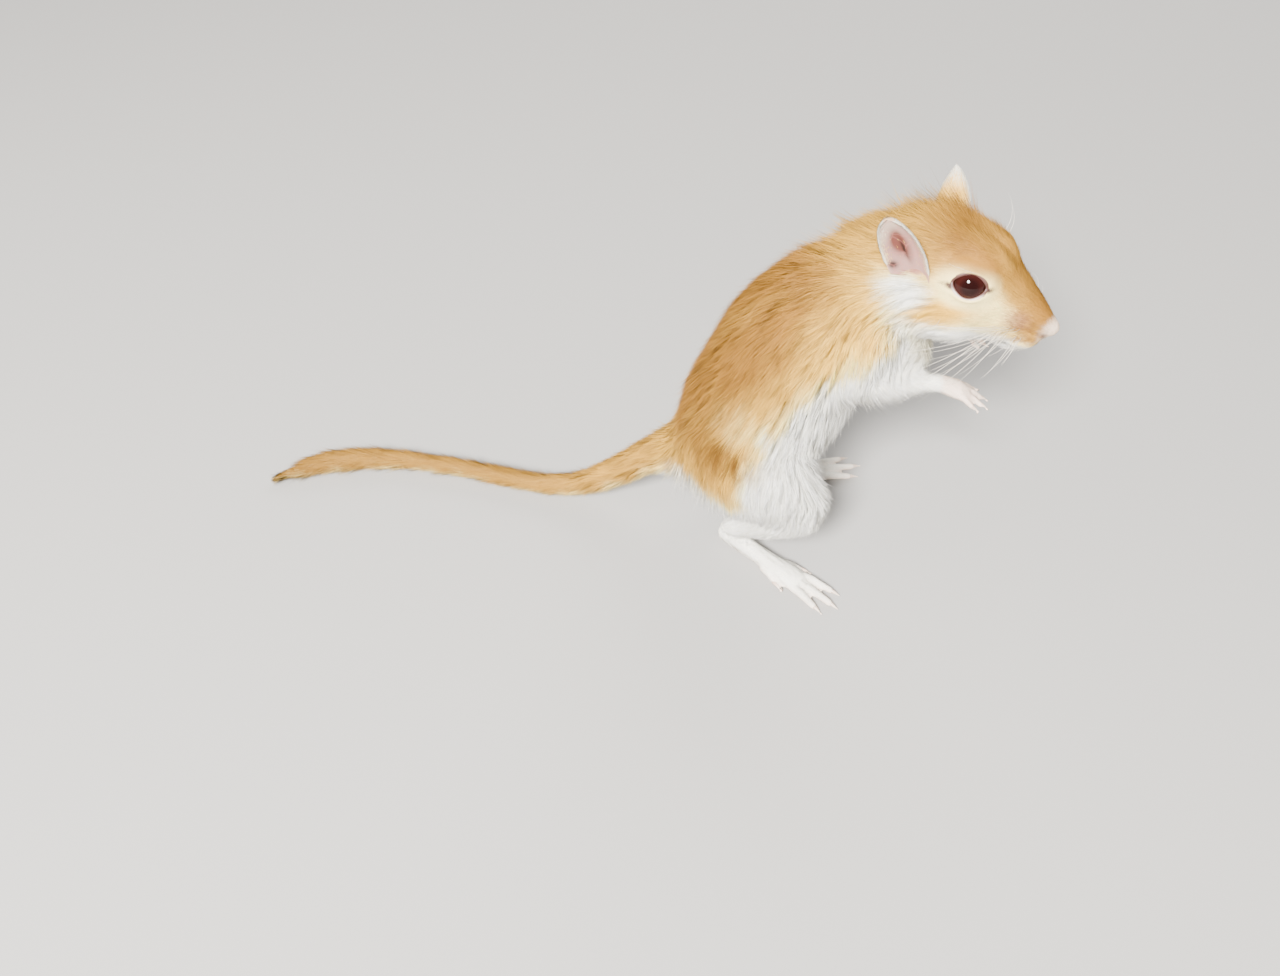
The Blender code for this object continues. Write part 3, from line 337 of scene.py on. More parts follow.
def markings(points, home, head):
    """The coat's colour at each point: layers laid over each other, each by its share."""
    kinds = KINDS[home]
    back, out, up = face = head_places(points)
    ahead, aside, high = body_places(points)
    body, tail = 1.0 - head, kinds == "tail"
    ragged = waves(points, 7.0, 3) * 0.9 + waves(points, 2.2, 4) * 0.4
    white_far, pale_far = inside(WHITE_BODY, ahead, high), inside(PALE_FACE, back, up)
    light = step(-white_far, 15.0, 1.0) * 0.62 + step(ahead, 8.0, 24.0) * 0.38 + waves(points, 14.0, 5) * 0.14
    flanks = step(aside, 11.0, 17.0) * body
    haunch = spot((ahead, high), *HAUNCH) * (0.35 + 0.35 * waves(points, 2.4, 15))
    dusk = np.clip(spot((ahead, high), *DUSK) * (0.75 + 0.6 * waves(points, 2.6, 8)), 0, 1)
    brow = step(up, 9.2, 10.6) * (1.0 - step(back, 19.0, 22.0))
    pad = np.clip(spot(face, *MUZZLE_PAD) * (0.7 + 0.6 * waves(points, 1.1, 9)), 0, 1)
    nose = 1.0 - step(back + np.maximum(up - 0.8, 0.0) * 0.8 + waves(points, 0.9, 16) * 0.35, 0.8, 2.6)
    _, tail_share, _, _, tail_out = near_line(points, lines["tail"])
    tail_under = step(-unit(tail_out)[:, 2] + ragged * 0.2, -0.1, 0.75)
    # darker along the far part of the tail and at its end: partly its own colour, partly painted shade
    tail_dark_and_shade = step(tail_share, 0.12, 0.5) * 0.4 + step(tail_share, 0.75, 0.98) * 0.15
    soles = np.where(kinds == "foot", step(18.0 - high * 6.0, 4.0, 15.0) * 0.45, (kinds == "paw") * 0.65)
    colour = np.tile(GOLD_BACK, (len(points), 1))
    for tint, share in (
        (GOLD_LIGHT, np.clip(light, 0, 1) * body),
        (CREAM, haunch * flanks),
        (BROWN, head * spot(face, *BRIDGE) * 0.45),
        # painted light between the brows, against the furrow's shade
        (GOLD_LIGHT, head * spot(face, *FURROW_PAINTED_LIGHT) * 0.4),
        (GOLD_LIGHT, head * step(-pale_far, 5.5, 0.0) * 0.35),
        (GOLD_LIGHT, head * step(back, 18.0, 28.0) * 0.48),
        (CREAM, step(white_far + ragged, -4.5, -0.4) * body * 0.8),
        (WHITE, step(white_far + ragged * 1.2, -1.8, 1.4) * body),
        (BROWN, dusk * flanks),
        (CREAM, head * step(pale_far + ragged * 0.6, -2.2, 0.9)),
        (WHITE, head * step(-up + ragged * 0.4, 0.4, 3.2) * step(pale_far, 0.0, 1.5)),
        (CHEEK_GOLD, head * spot(face, *CHEEK) * 0.95),
        (WHITE, np.clip(head * 1.5, 0, 1) * spot(face, *BELOW_EAR)),
        (RING_CREAM, head * spot(face, *EYE_RING) * 0.9),
        (GOLD_BACK, head * brow * 0.6),
        (LID_MAUVE, head * spot(face, *FRONT_CORNER)),
        (LID_MAUVE, head * spot(face, *BACK_CORNER)),
        (ORANGE_PAD, head * pad * 0.85),
        (PINK, head * spot(face, *BLUSH) * 0.6),
        (NOSE_PALE * (1.0 + 0.14 * waves(points, 0.7, 17))[:, None], head * nose * 0.9),
        # painted shadow under the nose
        (CREASE_SHADE_BROWN * 0.5, head * spot(face, *NOSTRIL_MOUTH_SHADOW)),
        (CUP_PINK, np.clip(head * 2.0, 0, 1) * spot(face, *EAR_CUP, 0.25)),
        (WHITE, spot(body_places(points), *SKIRT) * ~tail),
        (WHITE, np.isin(kinds, ("shank", "foot", "forearm", "paw"))),
        (FOOT_PINK, soles),
        (TAIL_GOLD, tail),
        (CREAM, tail * tail_under * 0.85),
        # the far tail darker: partly its own colour, partly painted shade
        (BROWN, tail * tail_dark_and_shade * (1.0 - tail_under * 0.8)),
    ):
        colour = paint(colour, tint, share)
    return colour * (1.0 + 0.06 * waves(points, 5.0, 6))[:, None]


# Skin. One skin runs from the nose to the toes with no seam. It is the flesh of the solids, closed over their
# cuts and pulled in by the depth of the coat that grows on it, with the lips and nostrils pressed into it.
CLOSING = 0.24
SKIN_VOXEL = 0.34
SKIN_TRIANGLES = 185000
NOT_FLESH = ("eye", "ear")


def new_piece(name, points, corners, sizes, colour=None):
    """A mesh object from whole arrays: points in millimetres, the faces' corners in a row, their counts."""
    data = bpy.data.meshes.new(name)
    data.vertices.add(len(points))
    data.vertices.foreach_set("co", (np.asarray(points) * MM).astype(np.float32).ravel())
    if len(sizes):
        data.loops.add(len(corners))
        data.loops.foreach_set("vertex_index", np.asarray(corners, np.int32))
        data.polygons.add(len(sizes))
        data.polygons.foreach_set("loop_start", np.concatenate([[0], np.cumsum(sizes)[:-1]]).astype(np.int32))
        data.update(calc_edges=True)
        data.shade_smooth()
    if colour is not None:
        write_colour(data, colour)
    piece = bpy.data.objects.new(name, data)
    bpy.context.scene.collection.objects.link(piece)
    return piece


def write_colour(data, colour):
    layer = data.attributes.get("hide_colour") or data.attributes.new("hide_colour", "FLOAT_COLOR", "POINT")
    layer.data.foreach_set("color", np.hstack([colour, np.ones((len(colour), 1))]).astype(np.float32).ravel())


def array_of(items, key, kind=np.float32):
    """The three values that each of a mesh's items holds under a key."""
    values = np.empty(len(items) * 3, kind)
    items.foreach_get(key, values)
    return values.reshape(-1, 3)


def points_of(data):
    return array_of(data.vertices, "co").astype(float) / MM


def normals_of(data):
    return array_of(data.vertices, "normal").astype(float)


def with_modifiers(piece):
    """The piece with its modifiers worked into its mesh."""
    bpy.context.view_layer.update()
    data = bpy.data.meshes.new_from_object(piece.evaluated_get(bpy.context.evaluated_depsgraph_get()))
    piece.modifiers.clear()
    piece.data = data
    return piece


merged = bmesh.new()
flesh_nodes = [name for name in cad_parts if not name.startswith(NOT_FLESH)]
for name in flesh_nodes:
    merged.from_mesh(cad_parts[name].data)
bmesh.ops.remove_doubles(merged, verts=merged.verts, dist=1e-6)
flesh = bpy.data.meshes.new("skin")
merged.to_mesh(flesh)
merged.free()
skin = bpy.data.objects.new("skin", flesh)
bpy.context.scene.collection.objects.link(skin)
swell = skin.modifiers.new("Close the cuts", "DISPLACE")
swell.mid_level = 0.0
swell.strength = CLOSING * MM
weave = skin.modifiers.new("One skin", "REMESH")
weave.mode = "VOXEL"
weave.voxel_size = SKIN_VOXEL * MM
settle = skin.modifiers.new("Settle", "SMOOTH")
settle.factor = 0.5
settle.iterations = 5
with_modifiers(skin)

# The mouth, the nostrils and the crease under the nose, as back, left and up from the tip of the nose.
MOUTH = ((2.5, 0.0, -3.5), (3.1, 1.6, -4.2), (5.2, 3.1, -4.8), (7.8, 4.1, -5.1), (10.2, 4.9, -5.2))
PHILTRUM = ((0.9, 0.0, -0.9), (2.4, 0.0, -3.5))
NOSTRIL = ((0.9, 0.75, -0.2), (1.3, 1.45, 0.15), (1.9, 1.75, -0.5))
NOSTRIL_DEPTH, MOUTH_DEPTH, PHILTRUM_DEPTH = 0.95, 0.8, 0.45
NOSTRIL_WIDTH, MOUTH_WIDTH, PHILTRUM_WIDTH = 0.42, 0.35, 0.3
# The furrow between the brows is filled at these two ovals.
BROW_FILL, MIDDLE_FILL = 1.1, 0.55
BROW_FURROW = (16.6, 3.2, 11.2), (5.5, 2.5, 3.0), 0.6
MIDDLE_FURROW = (12.8, 0.9, 10.8), (4.5, 2.4, 3.0), 0.7


def head_line(places, side=1, radius=1.0):
    return np.array([(*on_head(back, left * side, up), radius) for back, left, up in places])


def hump(x, middle, width):
    """A smooth hump: e to the minus square of the distance from its middle over its width."""
    return np.exp(-(((x - middle) / width) ** 2))


def press(points, line, width, depth):
    """How deep a crease is pressed at each point: a hump of the distance from its line."""
    return depth * hump(near_line(points, line)[0], 0.0, width)


def mouth_far(points):
    """The distance to the nearer half of the mouth."""
    return np.minimum(*(near_line(points, head_line(MOUTH, side))[0] for side in (-1, 1)))


places, ways = points_of(skin.data), normals_of(skin.data)
sink = CLOSING + coat_at(places).depth
for side in (-1, 1):
    sink += press(places, head_line(NOSTRIL, side), NOSTRIL_WIDTH, NOSTRIL_DEPTH)
sink -= BROW_FILL * spot(head_places(places), *BROW_FURROW)
sink -= BROW_FILL * MIDDLE_FILL * spot(head_places(places), *MIDDLE_FURROW)
sink += (MOUTH_DEPTH * hump(mouth_far(places), 0.0, MOUTH_WIDTH)
         + press(places, head_line(PHILTRUM), PHILTRUM_WIDTH, PHILTRUM_DEPTH))
places -= ways * sink[:, None]
skin.data.vertices.foreach_set("co", (places * MM).astype(np.float32).ravel())
skin.data.update()
thin = skin.modifiers.new("Fewer", "DECIMATE")
thin.ratio = min(1.0, SKIN_TRIANGLES / (2 * len(skin.data.polygons)))
with_modifiers(skin)
skin.data.shade_smooth()
skin_points = points_of(skin.data)
skin_coat = coat_at(skin_points)


class Wire:
    """A socket's value in a finish: + and * on it, from either side, add Math nodes."""

    def __init__(self, finish, socket):
        self.finish, self.socket = finish, socket

    def maths(self, operation, first, second):
        return self.finish.node("ShaderNodeMath", {"operation": operation}, {0: first, 1: second})

    def __add__(self, other):
        return self.maths("ADD", self, other)

    def __mul__(self, other):
        return self.maths("MULTIPLY", self, other)

    __radd__, __rmul__ = __add__, __mul__


OBJECT_PLACE = 3


class Finish:
    """A material being wired up. Every node comes from node(): its type, its settings and its sockets."""

    def __init__(self, name, **fixed):
        self.material = bpy.data.materials.new(name)
        self.material.use_nodes = True
        self.nodes = self.material.node_tree.nodes
        self.shader = self.nodes["Principled BSDF"]
        for words, value in fixed.items():
            self.shader.inputs[words.replace("_", " ")].default_value = value

    def node(self, kind, settings=None, sockets=None, output=0):
        made = self.nodes.new(kind)
        for key, value in (settings or {}).items():
            setattr(made, key, value)
        for key, value in (sockets or {}).items():
            self.fill(made.inputs[key], value)
        return Wire(self, made.outputs[output])

    def fill(self, socket, value):
        if isinstance(value, Wire):
            self.material.node_tree.links.new(value.socket, socket)
        elif socket.type == "RGBA" and len(value) == 3:
            socket.default_value = (*value, 1.0)
        else:
            socket.default_value = value

    def place(self):
        return self.node("ShaderNodeTexCoord", output=OBJECT_PLACE)

    def noise(self, scale, detail=2.0):
        sockets = {"Vector": self.place(), "Scale": scale, "Detail": detail}
        return self.node("ShaderNodeTexNoise", None, sockets)

    def cells(self, scale):
        settings = {"feature": "DISTANCE_TO_EDGE"}
        return self.node("ShaderNodeTexVoronoi", settings, {"Vector": self.place(), "Scale": scale})

    def spread(self, value, low, high, first=0.0, last=1.0):
        """The value carried from the range low to high onto the range first to last."""
        return self.node("ShaderNodeMapRange", None, {0: value, 1: low, 2: high, 3: first, 4: last})

    def mix(self, share, first, second, blend="MIX"):
        settings = {"data_type": "RGBA", "blend_type": blend}
        return self.node("ShaderNodeMix", settings, {0: share, 6: first, 7: second}, output=2)

    def colour(self):
        return self.node("ShaderNodeAttribute", {"attribute_name": "hide_colour"})

    def flecked(self, share, tint):
        """The mesh's own colour, by a share multiplied by the tint."""
        plain = self.colour()
        return self.mix(share, plain, self.mix(1.0, plain, tint, "MULTIPLY"))

    def bump(self, height, strength, distance):
        sockets = {"Height": height, "Strength": strength, "Distance": distance}
        self.fill(self.shader.inputs["Normal"], self.node("ShaderNodeBump", None, sockets))

    def wire(self, **sockets):
        for words, value in sockets.items():
            self.fill(self.shader.inputs[words.replace("_", " ")], value)


def settle_piece(piece, finish, slot, *stood_for):
    """Gives a finished piece its material and its body, and hides the solids it stands for. The slot is not
    used.
    """
    piece.data.materials.clear()
    piece.data.materials.append(finish.material)
    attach(piece, "root")
    if stood_for:
        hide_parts(*stood_for)
    return piece


hide = Finish("hide", Specular_IOR_Level=0.3)
grain = hide.noise(2600.0, 3.0)
creases = hide.cells(1500.0)
hide.wire(Base_Color=hide.flecked(grain * 0.5, (0.86, 0.74, 0.66)), Roughness=0.52 + grain * 0.2)
hide.bump(creases * 0.6 + grain * 0.4, 0.35, 0.00012)
# The skin under long hair is painted darker, as shade under the coat; the mouth line and the insides of the
# nostrils are painted dark brown, as shade in those creases.
nostril_shade = np.maximum(*(press(skin_points, head_line(NOSTRIL, side), 0.5, 1.2) for side in (-1, 1)))
skin_colour = markings(skin_points, skin_coat.home, skin_coat.head)
# painted shade under the long coat
skin_colour = skin_colour * (1.0 - 0.4 * step(skin_coat.length, 2.0, 5.0))[:, None]
skin_colour = paint(skin_colour, CREASE_SHADE_BROWN, hump(mouth_far(skin_points), 0.0, 0.5) * 0.95)
skin_colour = paint(skin_colour, CREASE_SHADE_BROWN * 0.5, np.clip(nostril_shade, 0, 1))
write_colour(skin.data, skin_colour)
settle_piece(skin, hide, "golden_fur", *flesh_nodes)


# Eyes. A glossy dark ruby ball with a hardly lighter iris sits in each socket, and a thin bare rim of lid,
# dark at its edge, lies on it. The rim is drawn out at both corners.
EYE_RADIUS = 3.5
EYE_AIM_FORWARD, EYE_AIM_UP = 18.0, 16.0
EYE_HALF_WIDTH, EYE_HALF_HEIGHT = 2.60, 2.08
CORNEA_PROUD = 0.035
LID_AROUND, LID_ACROSS = 72, 10
LID_PROUD, LID_THICK = 0.62, 0.9
RUBY_DEEP, RUBY_LIT = (0.009, 0.0018, 0.0016), (0.024, 0.0046, 0.0036)
LID_EDGE, LID_OUTER = np.array((0.085, 0.035, 0.028)), np.array((0.62, 0.45, 0.33))
# A painted highlight: the light line along the wet lower lid.
LID_WET_HIGHLIGHT = np.array((0.80, 0.66, 0.58))


def eye_axes(side):
    """The eye's ways along the face, out of the pupil and up, as columns."""
    ahead, lift = math.radians(EYE_AIM_FORWARD), math.radians(EYE_AIM_UP)
    level = math.cos(lift)
    aim = np.array((level * math.sin(ahead), side * level * math.cos(ahead), math.sin(lift)))
    along = unit(np.cross(aim, (0, 0, 1))) * side
    return head_axes @ np.stack([along, aim, np.cross(along, aim) * side], axis=1)


def full_turn(count):
    return np.linspace(0, 2 * math.pi, count, endpoint=False)


def grid_corners(rows, columns):
    """Corners of a grid's faces, row by row; the grid closes on itself across its columns."""
    i, j = np.meshgrid(np.arange(rows - 1), np.arange(columns), indexing="ij")
    k = (j + 1) % columns
    near, far = i * columns, (i + 1) * columns
    return np.stack([near + j, near + k, far + k, far + j], -1).reshape(-1, 4)


def closed_tubes(name, grids, colours, flip=False):
    """One mesh of tubes, each a rows by columns grid of points closed at its first and last rows by fans."""
    rows, columns = grids[0].shape[:2]
    quads, around, each = grid_corners(rows, columns), np.arange(columns), rows * columns + 2
    after, last_row = (around + 1) % columns, (rows - 1) * columns
    first = np.stack([after, around, np.full(columns, each - 2)], 1)
    last = np.stack([around + last_row, after + last_row, np.full(columns, each - 1)], 1)
    if flip:
        quads, first, last = quads[:, ::-1], first[:, ::-1], last[:, ::-1]
    pattern = np.concatenate([quads.ravel(), first.ravel(), last.ravel()])
    sizes = np.concatenate([np.full(len(quads), 4), np.full(2 * columns, 3)])

    def with_ends(values):
        values = np.broadcast_to(values, (rows, columns, 3))
        return np.concatenate([values.reshape(-1, 3), values[:1].mean(1), values[-1:].mean(1)])

    corners = (pattern + np.arange(len(grids))[:, None] * each).ravel()
    points, colour = (np.concatenate([with_ends(values) for values in both]) for both in (grids, colours))
    return new_piece(name, points, corners, np.tile(sizes, len(grids)), colour)


ruby = Finish("ruby_eye", Roughness=0.05, IOR=1.36, Specular_IOR_Level=0.35)
glow = ruby.spread(ruby.node("ShaderNodeSeparateColor", None, {0: ruby.colour()}), 0.0, 1.0)
ruby.wire(Base_Color=ruby.mix(glow * (0.8 + ruby.noise(1800.0, 4.0) * 0.4), RUBY_DEEP, RUBY_LIT))
lid_skin = Finish("lid_skin", Specular_IOR_Level=0.55)
lid_skin.wire(Base_Color=lid_skin.colour(), Roughness=0.38 + lid_skin.noise(3000.0) * 0.25)
lid_skin.bump(lid_skin.noise(3500.0, 3.0), 0.3, 0.0001)


def eyeball_points(latitude, longitude):
    """The ball by latitude from the pupil to its back: a sphere whose cornea stands proud in front."""
    proud = 1.0 + CORNEA_PROUD * hump(latitude, 0.0, 0.75)
    girth = np.sin(latitude)
    ball = np.stack([girth * np.cos(longitude), np.cos(latitude), girth * np.sin(longitude)], -1)
    return ball * (EYE_RADIUS * proud)[..., None]


def lid_points(around, across):
    """The lid's rim round the eye and from its edge outwards: a low roll above, and below it its hidden side.

    The opening is an almond, an oval pinched at its corners. The roll rises off the ball as a sine and falls
    again as a square, so that it dips under the skin outside.
    """
    corner = np.abs(np.cos(around)) ** 3.5
    spread = 1.0 + across * (0.55 + 0.12 * corner)
    wide = EYE_HALF_WIDTH * np.cos(around) * spread * (1.0 + 0.10 * corner)
    high = EYE_HALF_HEIGHT * np.sin(around) * (1.0 - 0.22 * np.cos(around) ** 2) * spread
    roll = np.sin(np.clip(across * 1.35, 0, 1) * math.pi * 0.62)
    reach = EYE_RADIUS + 0.02 + LID_PROUD * roll - 0.42 * across**2
    out = np.sqrt(np.maximum(reach**2 - wide**2 - high**2, 0.3))
    inner_wide, inner_high = wide / spread, high / spread
    under = np.sqrt(np.maximum((EYE_RADIUS - 0.25) ** 2 - inner_wide**2 - inner_high**2, 0.2))
    widen = 1 + 0.2 * across
    bottom = np.stack([inner_wide * widen, under - across * LID_THICK, inner_high * widen], -1)
    return np.concatenate([np.stack([wide, out, high], -1), bottom[::-1]])


def lid_colour(around, across):
    """Dark at the edge, above and at the corners, pale outwards, with a painted highlight along the wet lower
    lid.
    """
    dark = np.maximum(np.cos(around) ** 2, 0.8 * step(np.sin(around), -0.2, 0.5))
    outer = np.concatenate([step(across, 0.25, 0.7) * (1 - 0.95 * dark), np.zeros_like(across)]).ravel()
    # painted highlight on the lower lid
    wet_highlight = step(-np.sin(around), 0.35, 0.8) * step(across, 0.1, 0.3) * (1 - step(across, 0.45, 0.6))
    tint = paint(np.tile(LID_EDGE, (outer.size, 1)), LID_OUTER, outer)
    return paint(tint, LID_WET_HIGHLIGHT, np.concatenate([wet_highlight, wet_highlight]).ravel() * 0.8)


for word, side in SIDES.items():
    axes, middle = eye_axes(side), eye_middle[side]
    latitude, longitude = np.meshgrid(np.linspace(0.03, math.pi - 0.03, 40), full_turn(56), indexing="ij")
    ball = eyeball_points(latitude, longitude) @ axes.T + middle
    iris = hump(latitude, 0.62, 0.2) * 0.7 + 0.22 * step(latitude, 0.35, 0.6)
    eyeball = closed_tubes("eyeball_" + word, [ball], [iris[..., None]], flip=side < 0)
    settle_piece(eyeball, ruby, "ruby_eye", "eye_" + word)
    around, across = np.meshgrid(full_turn(LID_AROUND), np.linspace(0, 1, LID_ACROSS))
    rim = lid_points(around, across) @ axes.T + middle
    quads = grid_corners(len(rim) + 1, LID_AROUND) % (len(rim) * LID_AROUND)
    quads = quads[:, ::-side]  # turned over on the left, so that they face outwards on both sides
    lid = new_piece("eyelids_" + word, rim.reshape(-1, 3), quads.ravel(), np.full(len(quads), 4),
                    lid_colour(around, across))
    settle_piece(lid, lid_skin, "ear_skin")


# Ears. Each is a thin leaf of skin whose sides curl round to a tube at its root, hollow on its face, with a
# rolled downy rim and a fold inside. Painted shade darkens its hollow, the groove by the fold and a notch low
# at its back edge. It grows out among the neck's hair.
# The root's place, the lean and the way faced are back, out and up. Of the rest, blunt rounds the tip, broad
# widens the root, curl rolls it, slant cuts its foot on the skew and sweep bends the leaf to its side.
EARS = {
    -1: SimpleNamespace(root=(27.4, 9.7, 7.0), lean=(0.244, 0.445, 0.862), faces=(0.25, 0.95, 0.05),
                        length=11.9, half_width=4.35, blunt=0.42, broad=0.36, curl=0.58, slant=1.6,
                        sweep=1.5),
    1: SimpleNamespace(root=(26.6, 9.6, 7.6), lean=(0.32, 0.75, 0.58), faces=(0.32, 0.66, -0.68),
                       length=10.8, half_width=3.8, blunt=0.68, broad=0.30, curl=0.7, slant=0.8,
                       sweep=-0.4),
}
EAR_SUNK, EAR_HOLLOW, EAR_ROLLED = 2.0, 1.1, 0.5
# Marks on the ear's face: the middle across, towards the front, and up from the root, and the half widths.
FOLD = (0.22, 0.42), (0.15, 0.20)
# The flush is the ear's reddish inside, deepened by painted shade in its hollow; the groove and notch are
# painted shade.
FLUSH_AND_SHADE = (-0.08, 0.54), (0.40, 0.20)
GROOVE_SHADE = (0.03, 0.43), (0.11, 0.14)
NOTCH_SHADE = (-0.70, 0.155), (0.24, 0.06)
EAR_PINK, EAR_PALE = np.array((0.34, 0.19, 0.165)), np.array((0.46, 0.34, 0.27))
# Painted shade: the flush's deep red and the dark of the groove and notch.
EAR_FLUSH_AND_SHADE, EAR_PAINTED_SHADE = np.array((0.11, 0.024, 0.015)), np.array((0.018, 0.005, 0.004))
EAR_RIM = np.array((0.52, 0.38, 0.30))


def ear_frame(side):
    """The ear's root under the skin, its way up, the way it faces and the way across."""
    back, out, up = EARS[side].lean
    axis = unit(head_axes @ np.array((-back, side * out, up)))
    faces = head_axes @ (np.array(EARS[side].faces) * (1, side, 1))
    faces = unit(faces - axis * (faces @ axis))
    back, out, up = EARS[side].root
    return on_head(back, side * out, up) - axis * EAR_SUNK, axis, faces, np.cross(axis, faces)


def ear_mark(front, v, middles, widths):
    return hump(front, middles[0], widths[0]) * hump(v, middles[1], widths[1])


def ear_points(side, u, v, lift):
    """The ear at u across, from -1 to 1, v from root to tip, and lift off its middle sheet, towards its face.

    Across, the sheet is an arc whose curl grows towards the root, with a hollow, a fold and a rolled rim.
    """
    ear = EARS[side]
    root, axis, faces, across = ear_frame(side)
    curl = 0.62 + ear.curl * np.abs(1.0 - v) ** 1.6
    radius = ear.half_width * np.sin(math.pi * (ear.broad + (1.0 - ear.broad) * v)) ** ear.blunt / curl
    front = u * -side
    forward = radius * (1.0 - np.cos(curl * u)) * (1.0 + 0.4 * front * (1.0 - v))
    forward += ear_mark(front, v, *FOLD) - EAR_HOLLOW * np.sin(math.pi * v * 0.8)
    forward += EAR_ROLLED * np.abs(u) ** 6 * step(v, 0.3, 0.6)
    sideways = radius * np.sin(curl * u) + side * ear.sweep * (v**2.2 - 0.2)
    height = v * (ear.length + EAR_SUNK) - ear.slant * front * np.maximum(1.0 - v, 0.0)
    place = root + axis * height[..., None] + across * sideways[..., None] + faces * forward[..., None]
    ways = -across * np.sin(curl * u)[..., None] + faces * np.cos(curl * u)[..., None]
    return place + ways * lift[..., None]


def ear_sheet(side, turn, v):
    """The closed ear as a flat tube: u is the cosine of the turn, and its sine goes to face and back."""
    u = np.cos(turn)
    thick = (0.42 - 0.2 * v) * (1 - 0.55 * np.abs(u) ** 4) + 0.08
    return ear_points(side, u, v, np.sin(turn) * thick)


def ear_colour(side, turn, v):
    """Pink with a paler tip, a golden back and a light rim. On its face a reddish flush, deepened by painted
    shade in the hollow, and a groove and notch of painted shade.
    """
    face, front = step(np.sin(turn), -0.1, 0.3), np.cos(turn) * -side
    flush_and_shade = ear_mark(front, v, *FLUSH_AND_SHADE) * 1.9
    dark = (ear_mark(front + 0.3 * (v - 0.5), v, *GROOVE_SHADE) + ear_mark(front, v, *NOTCH_SHADE)) * 1.3
    tint = np.tile(EAR_PINK, (v.size, 1))
    for over, share in (
        (EAR_PALE, step(v - front * 0.25, 0.55, 0.9)),
        (EAR_FLUSH_AND_SHADE, face * np.clip(flush_and_shade, 0, 1) * 0.95),
        (EAR_PAINTED_SHADE, face * np.clip(dark, 0, 1)),
        (GOLD_LIGHT, (1 - face) * 0.85),
        (EAR_RIM, np.clip(np.abs(np.cos(turn)) ** 10 * 0.45 + step(v, 0.80, 0.98) * 0.6, 0, 1)),
    ):
        tint = paint(tint, over, share.ravel())
    return tint.reshape(*v.shape, 3)


ear_skin = Finish("ear_skin", Specular_IOR_Level=0.35)
vein = ear_skin.spread(ear_skin.cells(420.0), 0.0, 0.07, 0.35, 0.0)
ear_skin.wire(Base_Color=ear_skin.mix(vein, ear_skin.colour(), (0.40, 0.14, 0.12)),
              Roughness=0.5 + ear_skin.noise(2400.0) * 0.2)
ear_skin.bump(ear_skin.noise(2000.0, 4.0), 0.4, 0.00012)
for word, side in SIDES.items():
    turn, v = np.meshgrid(full_turn(64), np.linspace(0.0, 0.985, 44) ** 0.9)
    ear = closed_tubes("pinna_" + word, [ear_sheet(side, turn, v)], [ear_colour(side, turn, v)], flip=True)
    settle_piece(ear, ear_skin, "ear_skin", "ear_" + word)


# Claws. Each toe and finger ends in a small curved cone of pale horn, rooted in its tip.
# Each digit's root ahead and across, its spread in degrees and its length, from the inner one outwards.
TOES = ((12.5, -2.0, -17.0, 4.4), (19.0, -1.9, -8.0, 8.0), (20.0, 0.0, 0.0, 9.0), (19.0, 1.9, 8.0, 8.2),
        (14.0, 2.1, 18.0, 5.0))
FINGERS = ((3.6, -1.9, -20.0, 3.0), (4.6, -0.7, -7.0, 3.9), (4.6, 0.7, 6.0, 4.1), (3.8, 1.9, 19.0, 3.2))
TOE_RADIUS, TOE_DROOP, TOE_CLAW = 1.1, 0.12, 2.0
FINGER_RADIUS, FINGER_DROOP, FINGER_CLAW = 0.8, 0.8, 1.2
CLAW_ROOT, CLAW_TIP = np.array((0.55, 0.36, 0.29)), np.array((0.78, 0.68, 0.56))


def digit_ends(side, hind):
    """The tip, way, radius and claw length of each digit of one foot or hand."""
    if hind:
        start, way, across = foot_axes(side)
        start = start + (0, 0, TOE_RADIUS - 0.1)
        digits, radius, droop, claw = TOES, TOE_RADIUS, TOE_DROOP, TOE_CLAW
    else:
        start, way, across = paw_axes(side)
        digits, radius, droop, claw = FINGERS, FINGER_RADIUS, FINGER_DROOP, FINGER_CLAW
    for forward, sideways, spread, length in digits:
        spread = math.radians(spread)
        ahead = unit(way * math.cos(spread) + across * math.sin(spread))
        drop = np.array((0, 0, (0.1 + droop) * radius))
        yield start + way * forward + across * sideways + ahead * length - drop, ahead, radius, claw


def tube(path, radii, sides):
    """Points of a round tube: at each place of the path a ring of its radius, across the path's way."""
    ways = unit(np.gradient(path, axis=0))
    level = unit(np.cross((0.0, 0.0, 1.0), ways))
    angle = full_turn(sides)[None, :, None]
    ring = level[:, None] * np.cos(angle) + np.cross(ways, level)[:, None] * np.sin(angle)
    return path[:, None] + ring * radii[..., None]


horn = Finish("claw_horn", Specular_IOR_Level=0.6)
horn.wire(Base_Color=horn.colour(), Roughness=0.26 + horn.noise(2500.0) * 0.16)
horn.bump(horn.noise(3000.0), 0.2, 0.00006)
t = np.linspace(0, 1, 10)[:, None]
claw_tint = (CLAW_ROOT + (CLAW_TIP - CLAW_ROOT) * t)[:, None]
for word, side in SIDES.items():
    for kind, hind in (("claws_hind_", True), ("claws_fore_", False)):
        claws = []
        for tip, ahead, radius, claw in digit_ends(side, hind):
            bend = np.array((0, 0, 1)) * radius * (0.55 * t**2 - 0.22 * t)
            path = tip + ahead * (t - 0.12) * (claw + radius * 0.5) - bend
            claws.append(tube(path, radius * 0.46 * (1 - t**1.6) + 0.03, 10))
        settle_piece(closed_tubes(kind + word, claws, [claw_tint] * len(claws)), horn, "foot_skin")


# Coat. Soft guard hair in fine flat tufts, rooted in the skin and laid back from the nose along the body,
# down the legs and out along the tail. It is finest on the face and feet, and gathers in small locks on the
# flanks.
ATLAS_ROWS = {name: i for i, name in enumerate([*lines, "ear_right", "ear_left"])}
PATCH = 0.003
MOST_TUFTS = 49500
ROOT_SUNK = 0.25
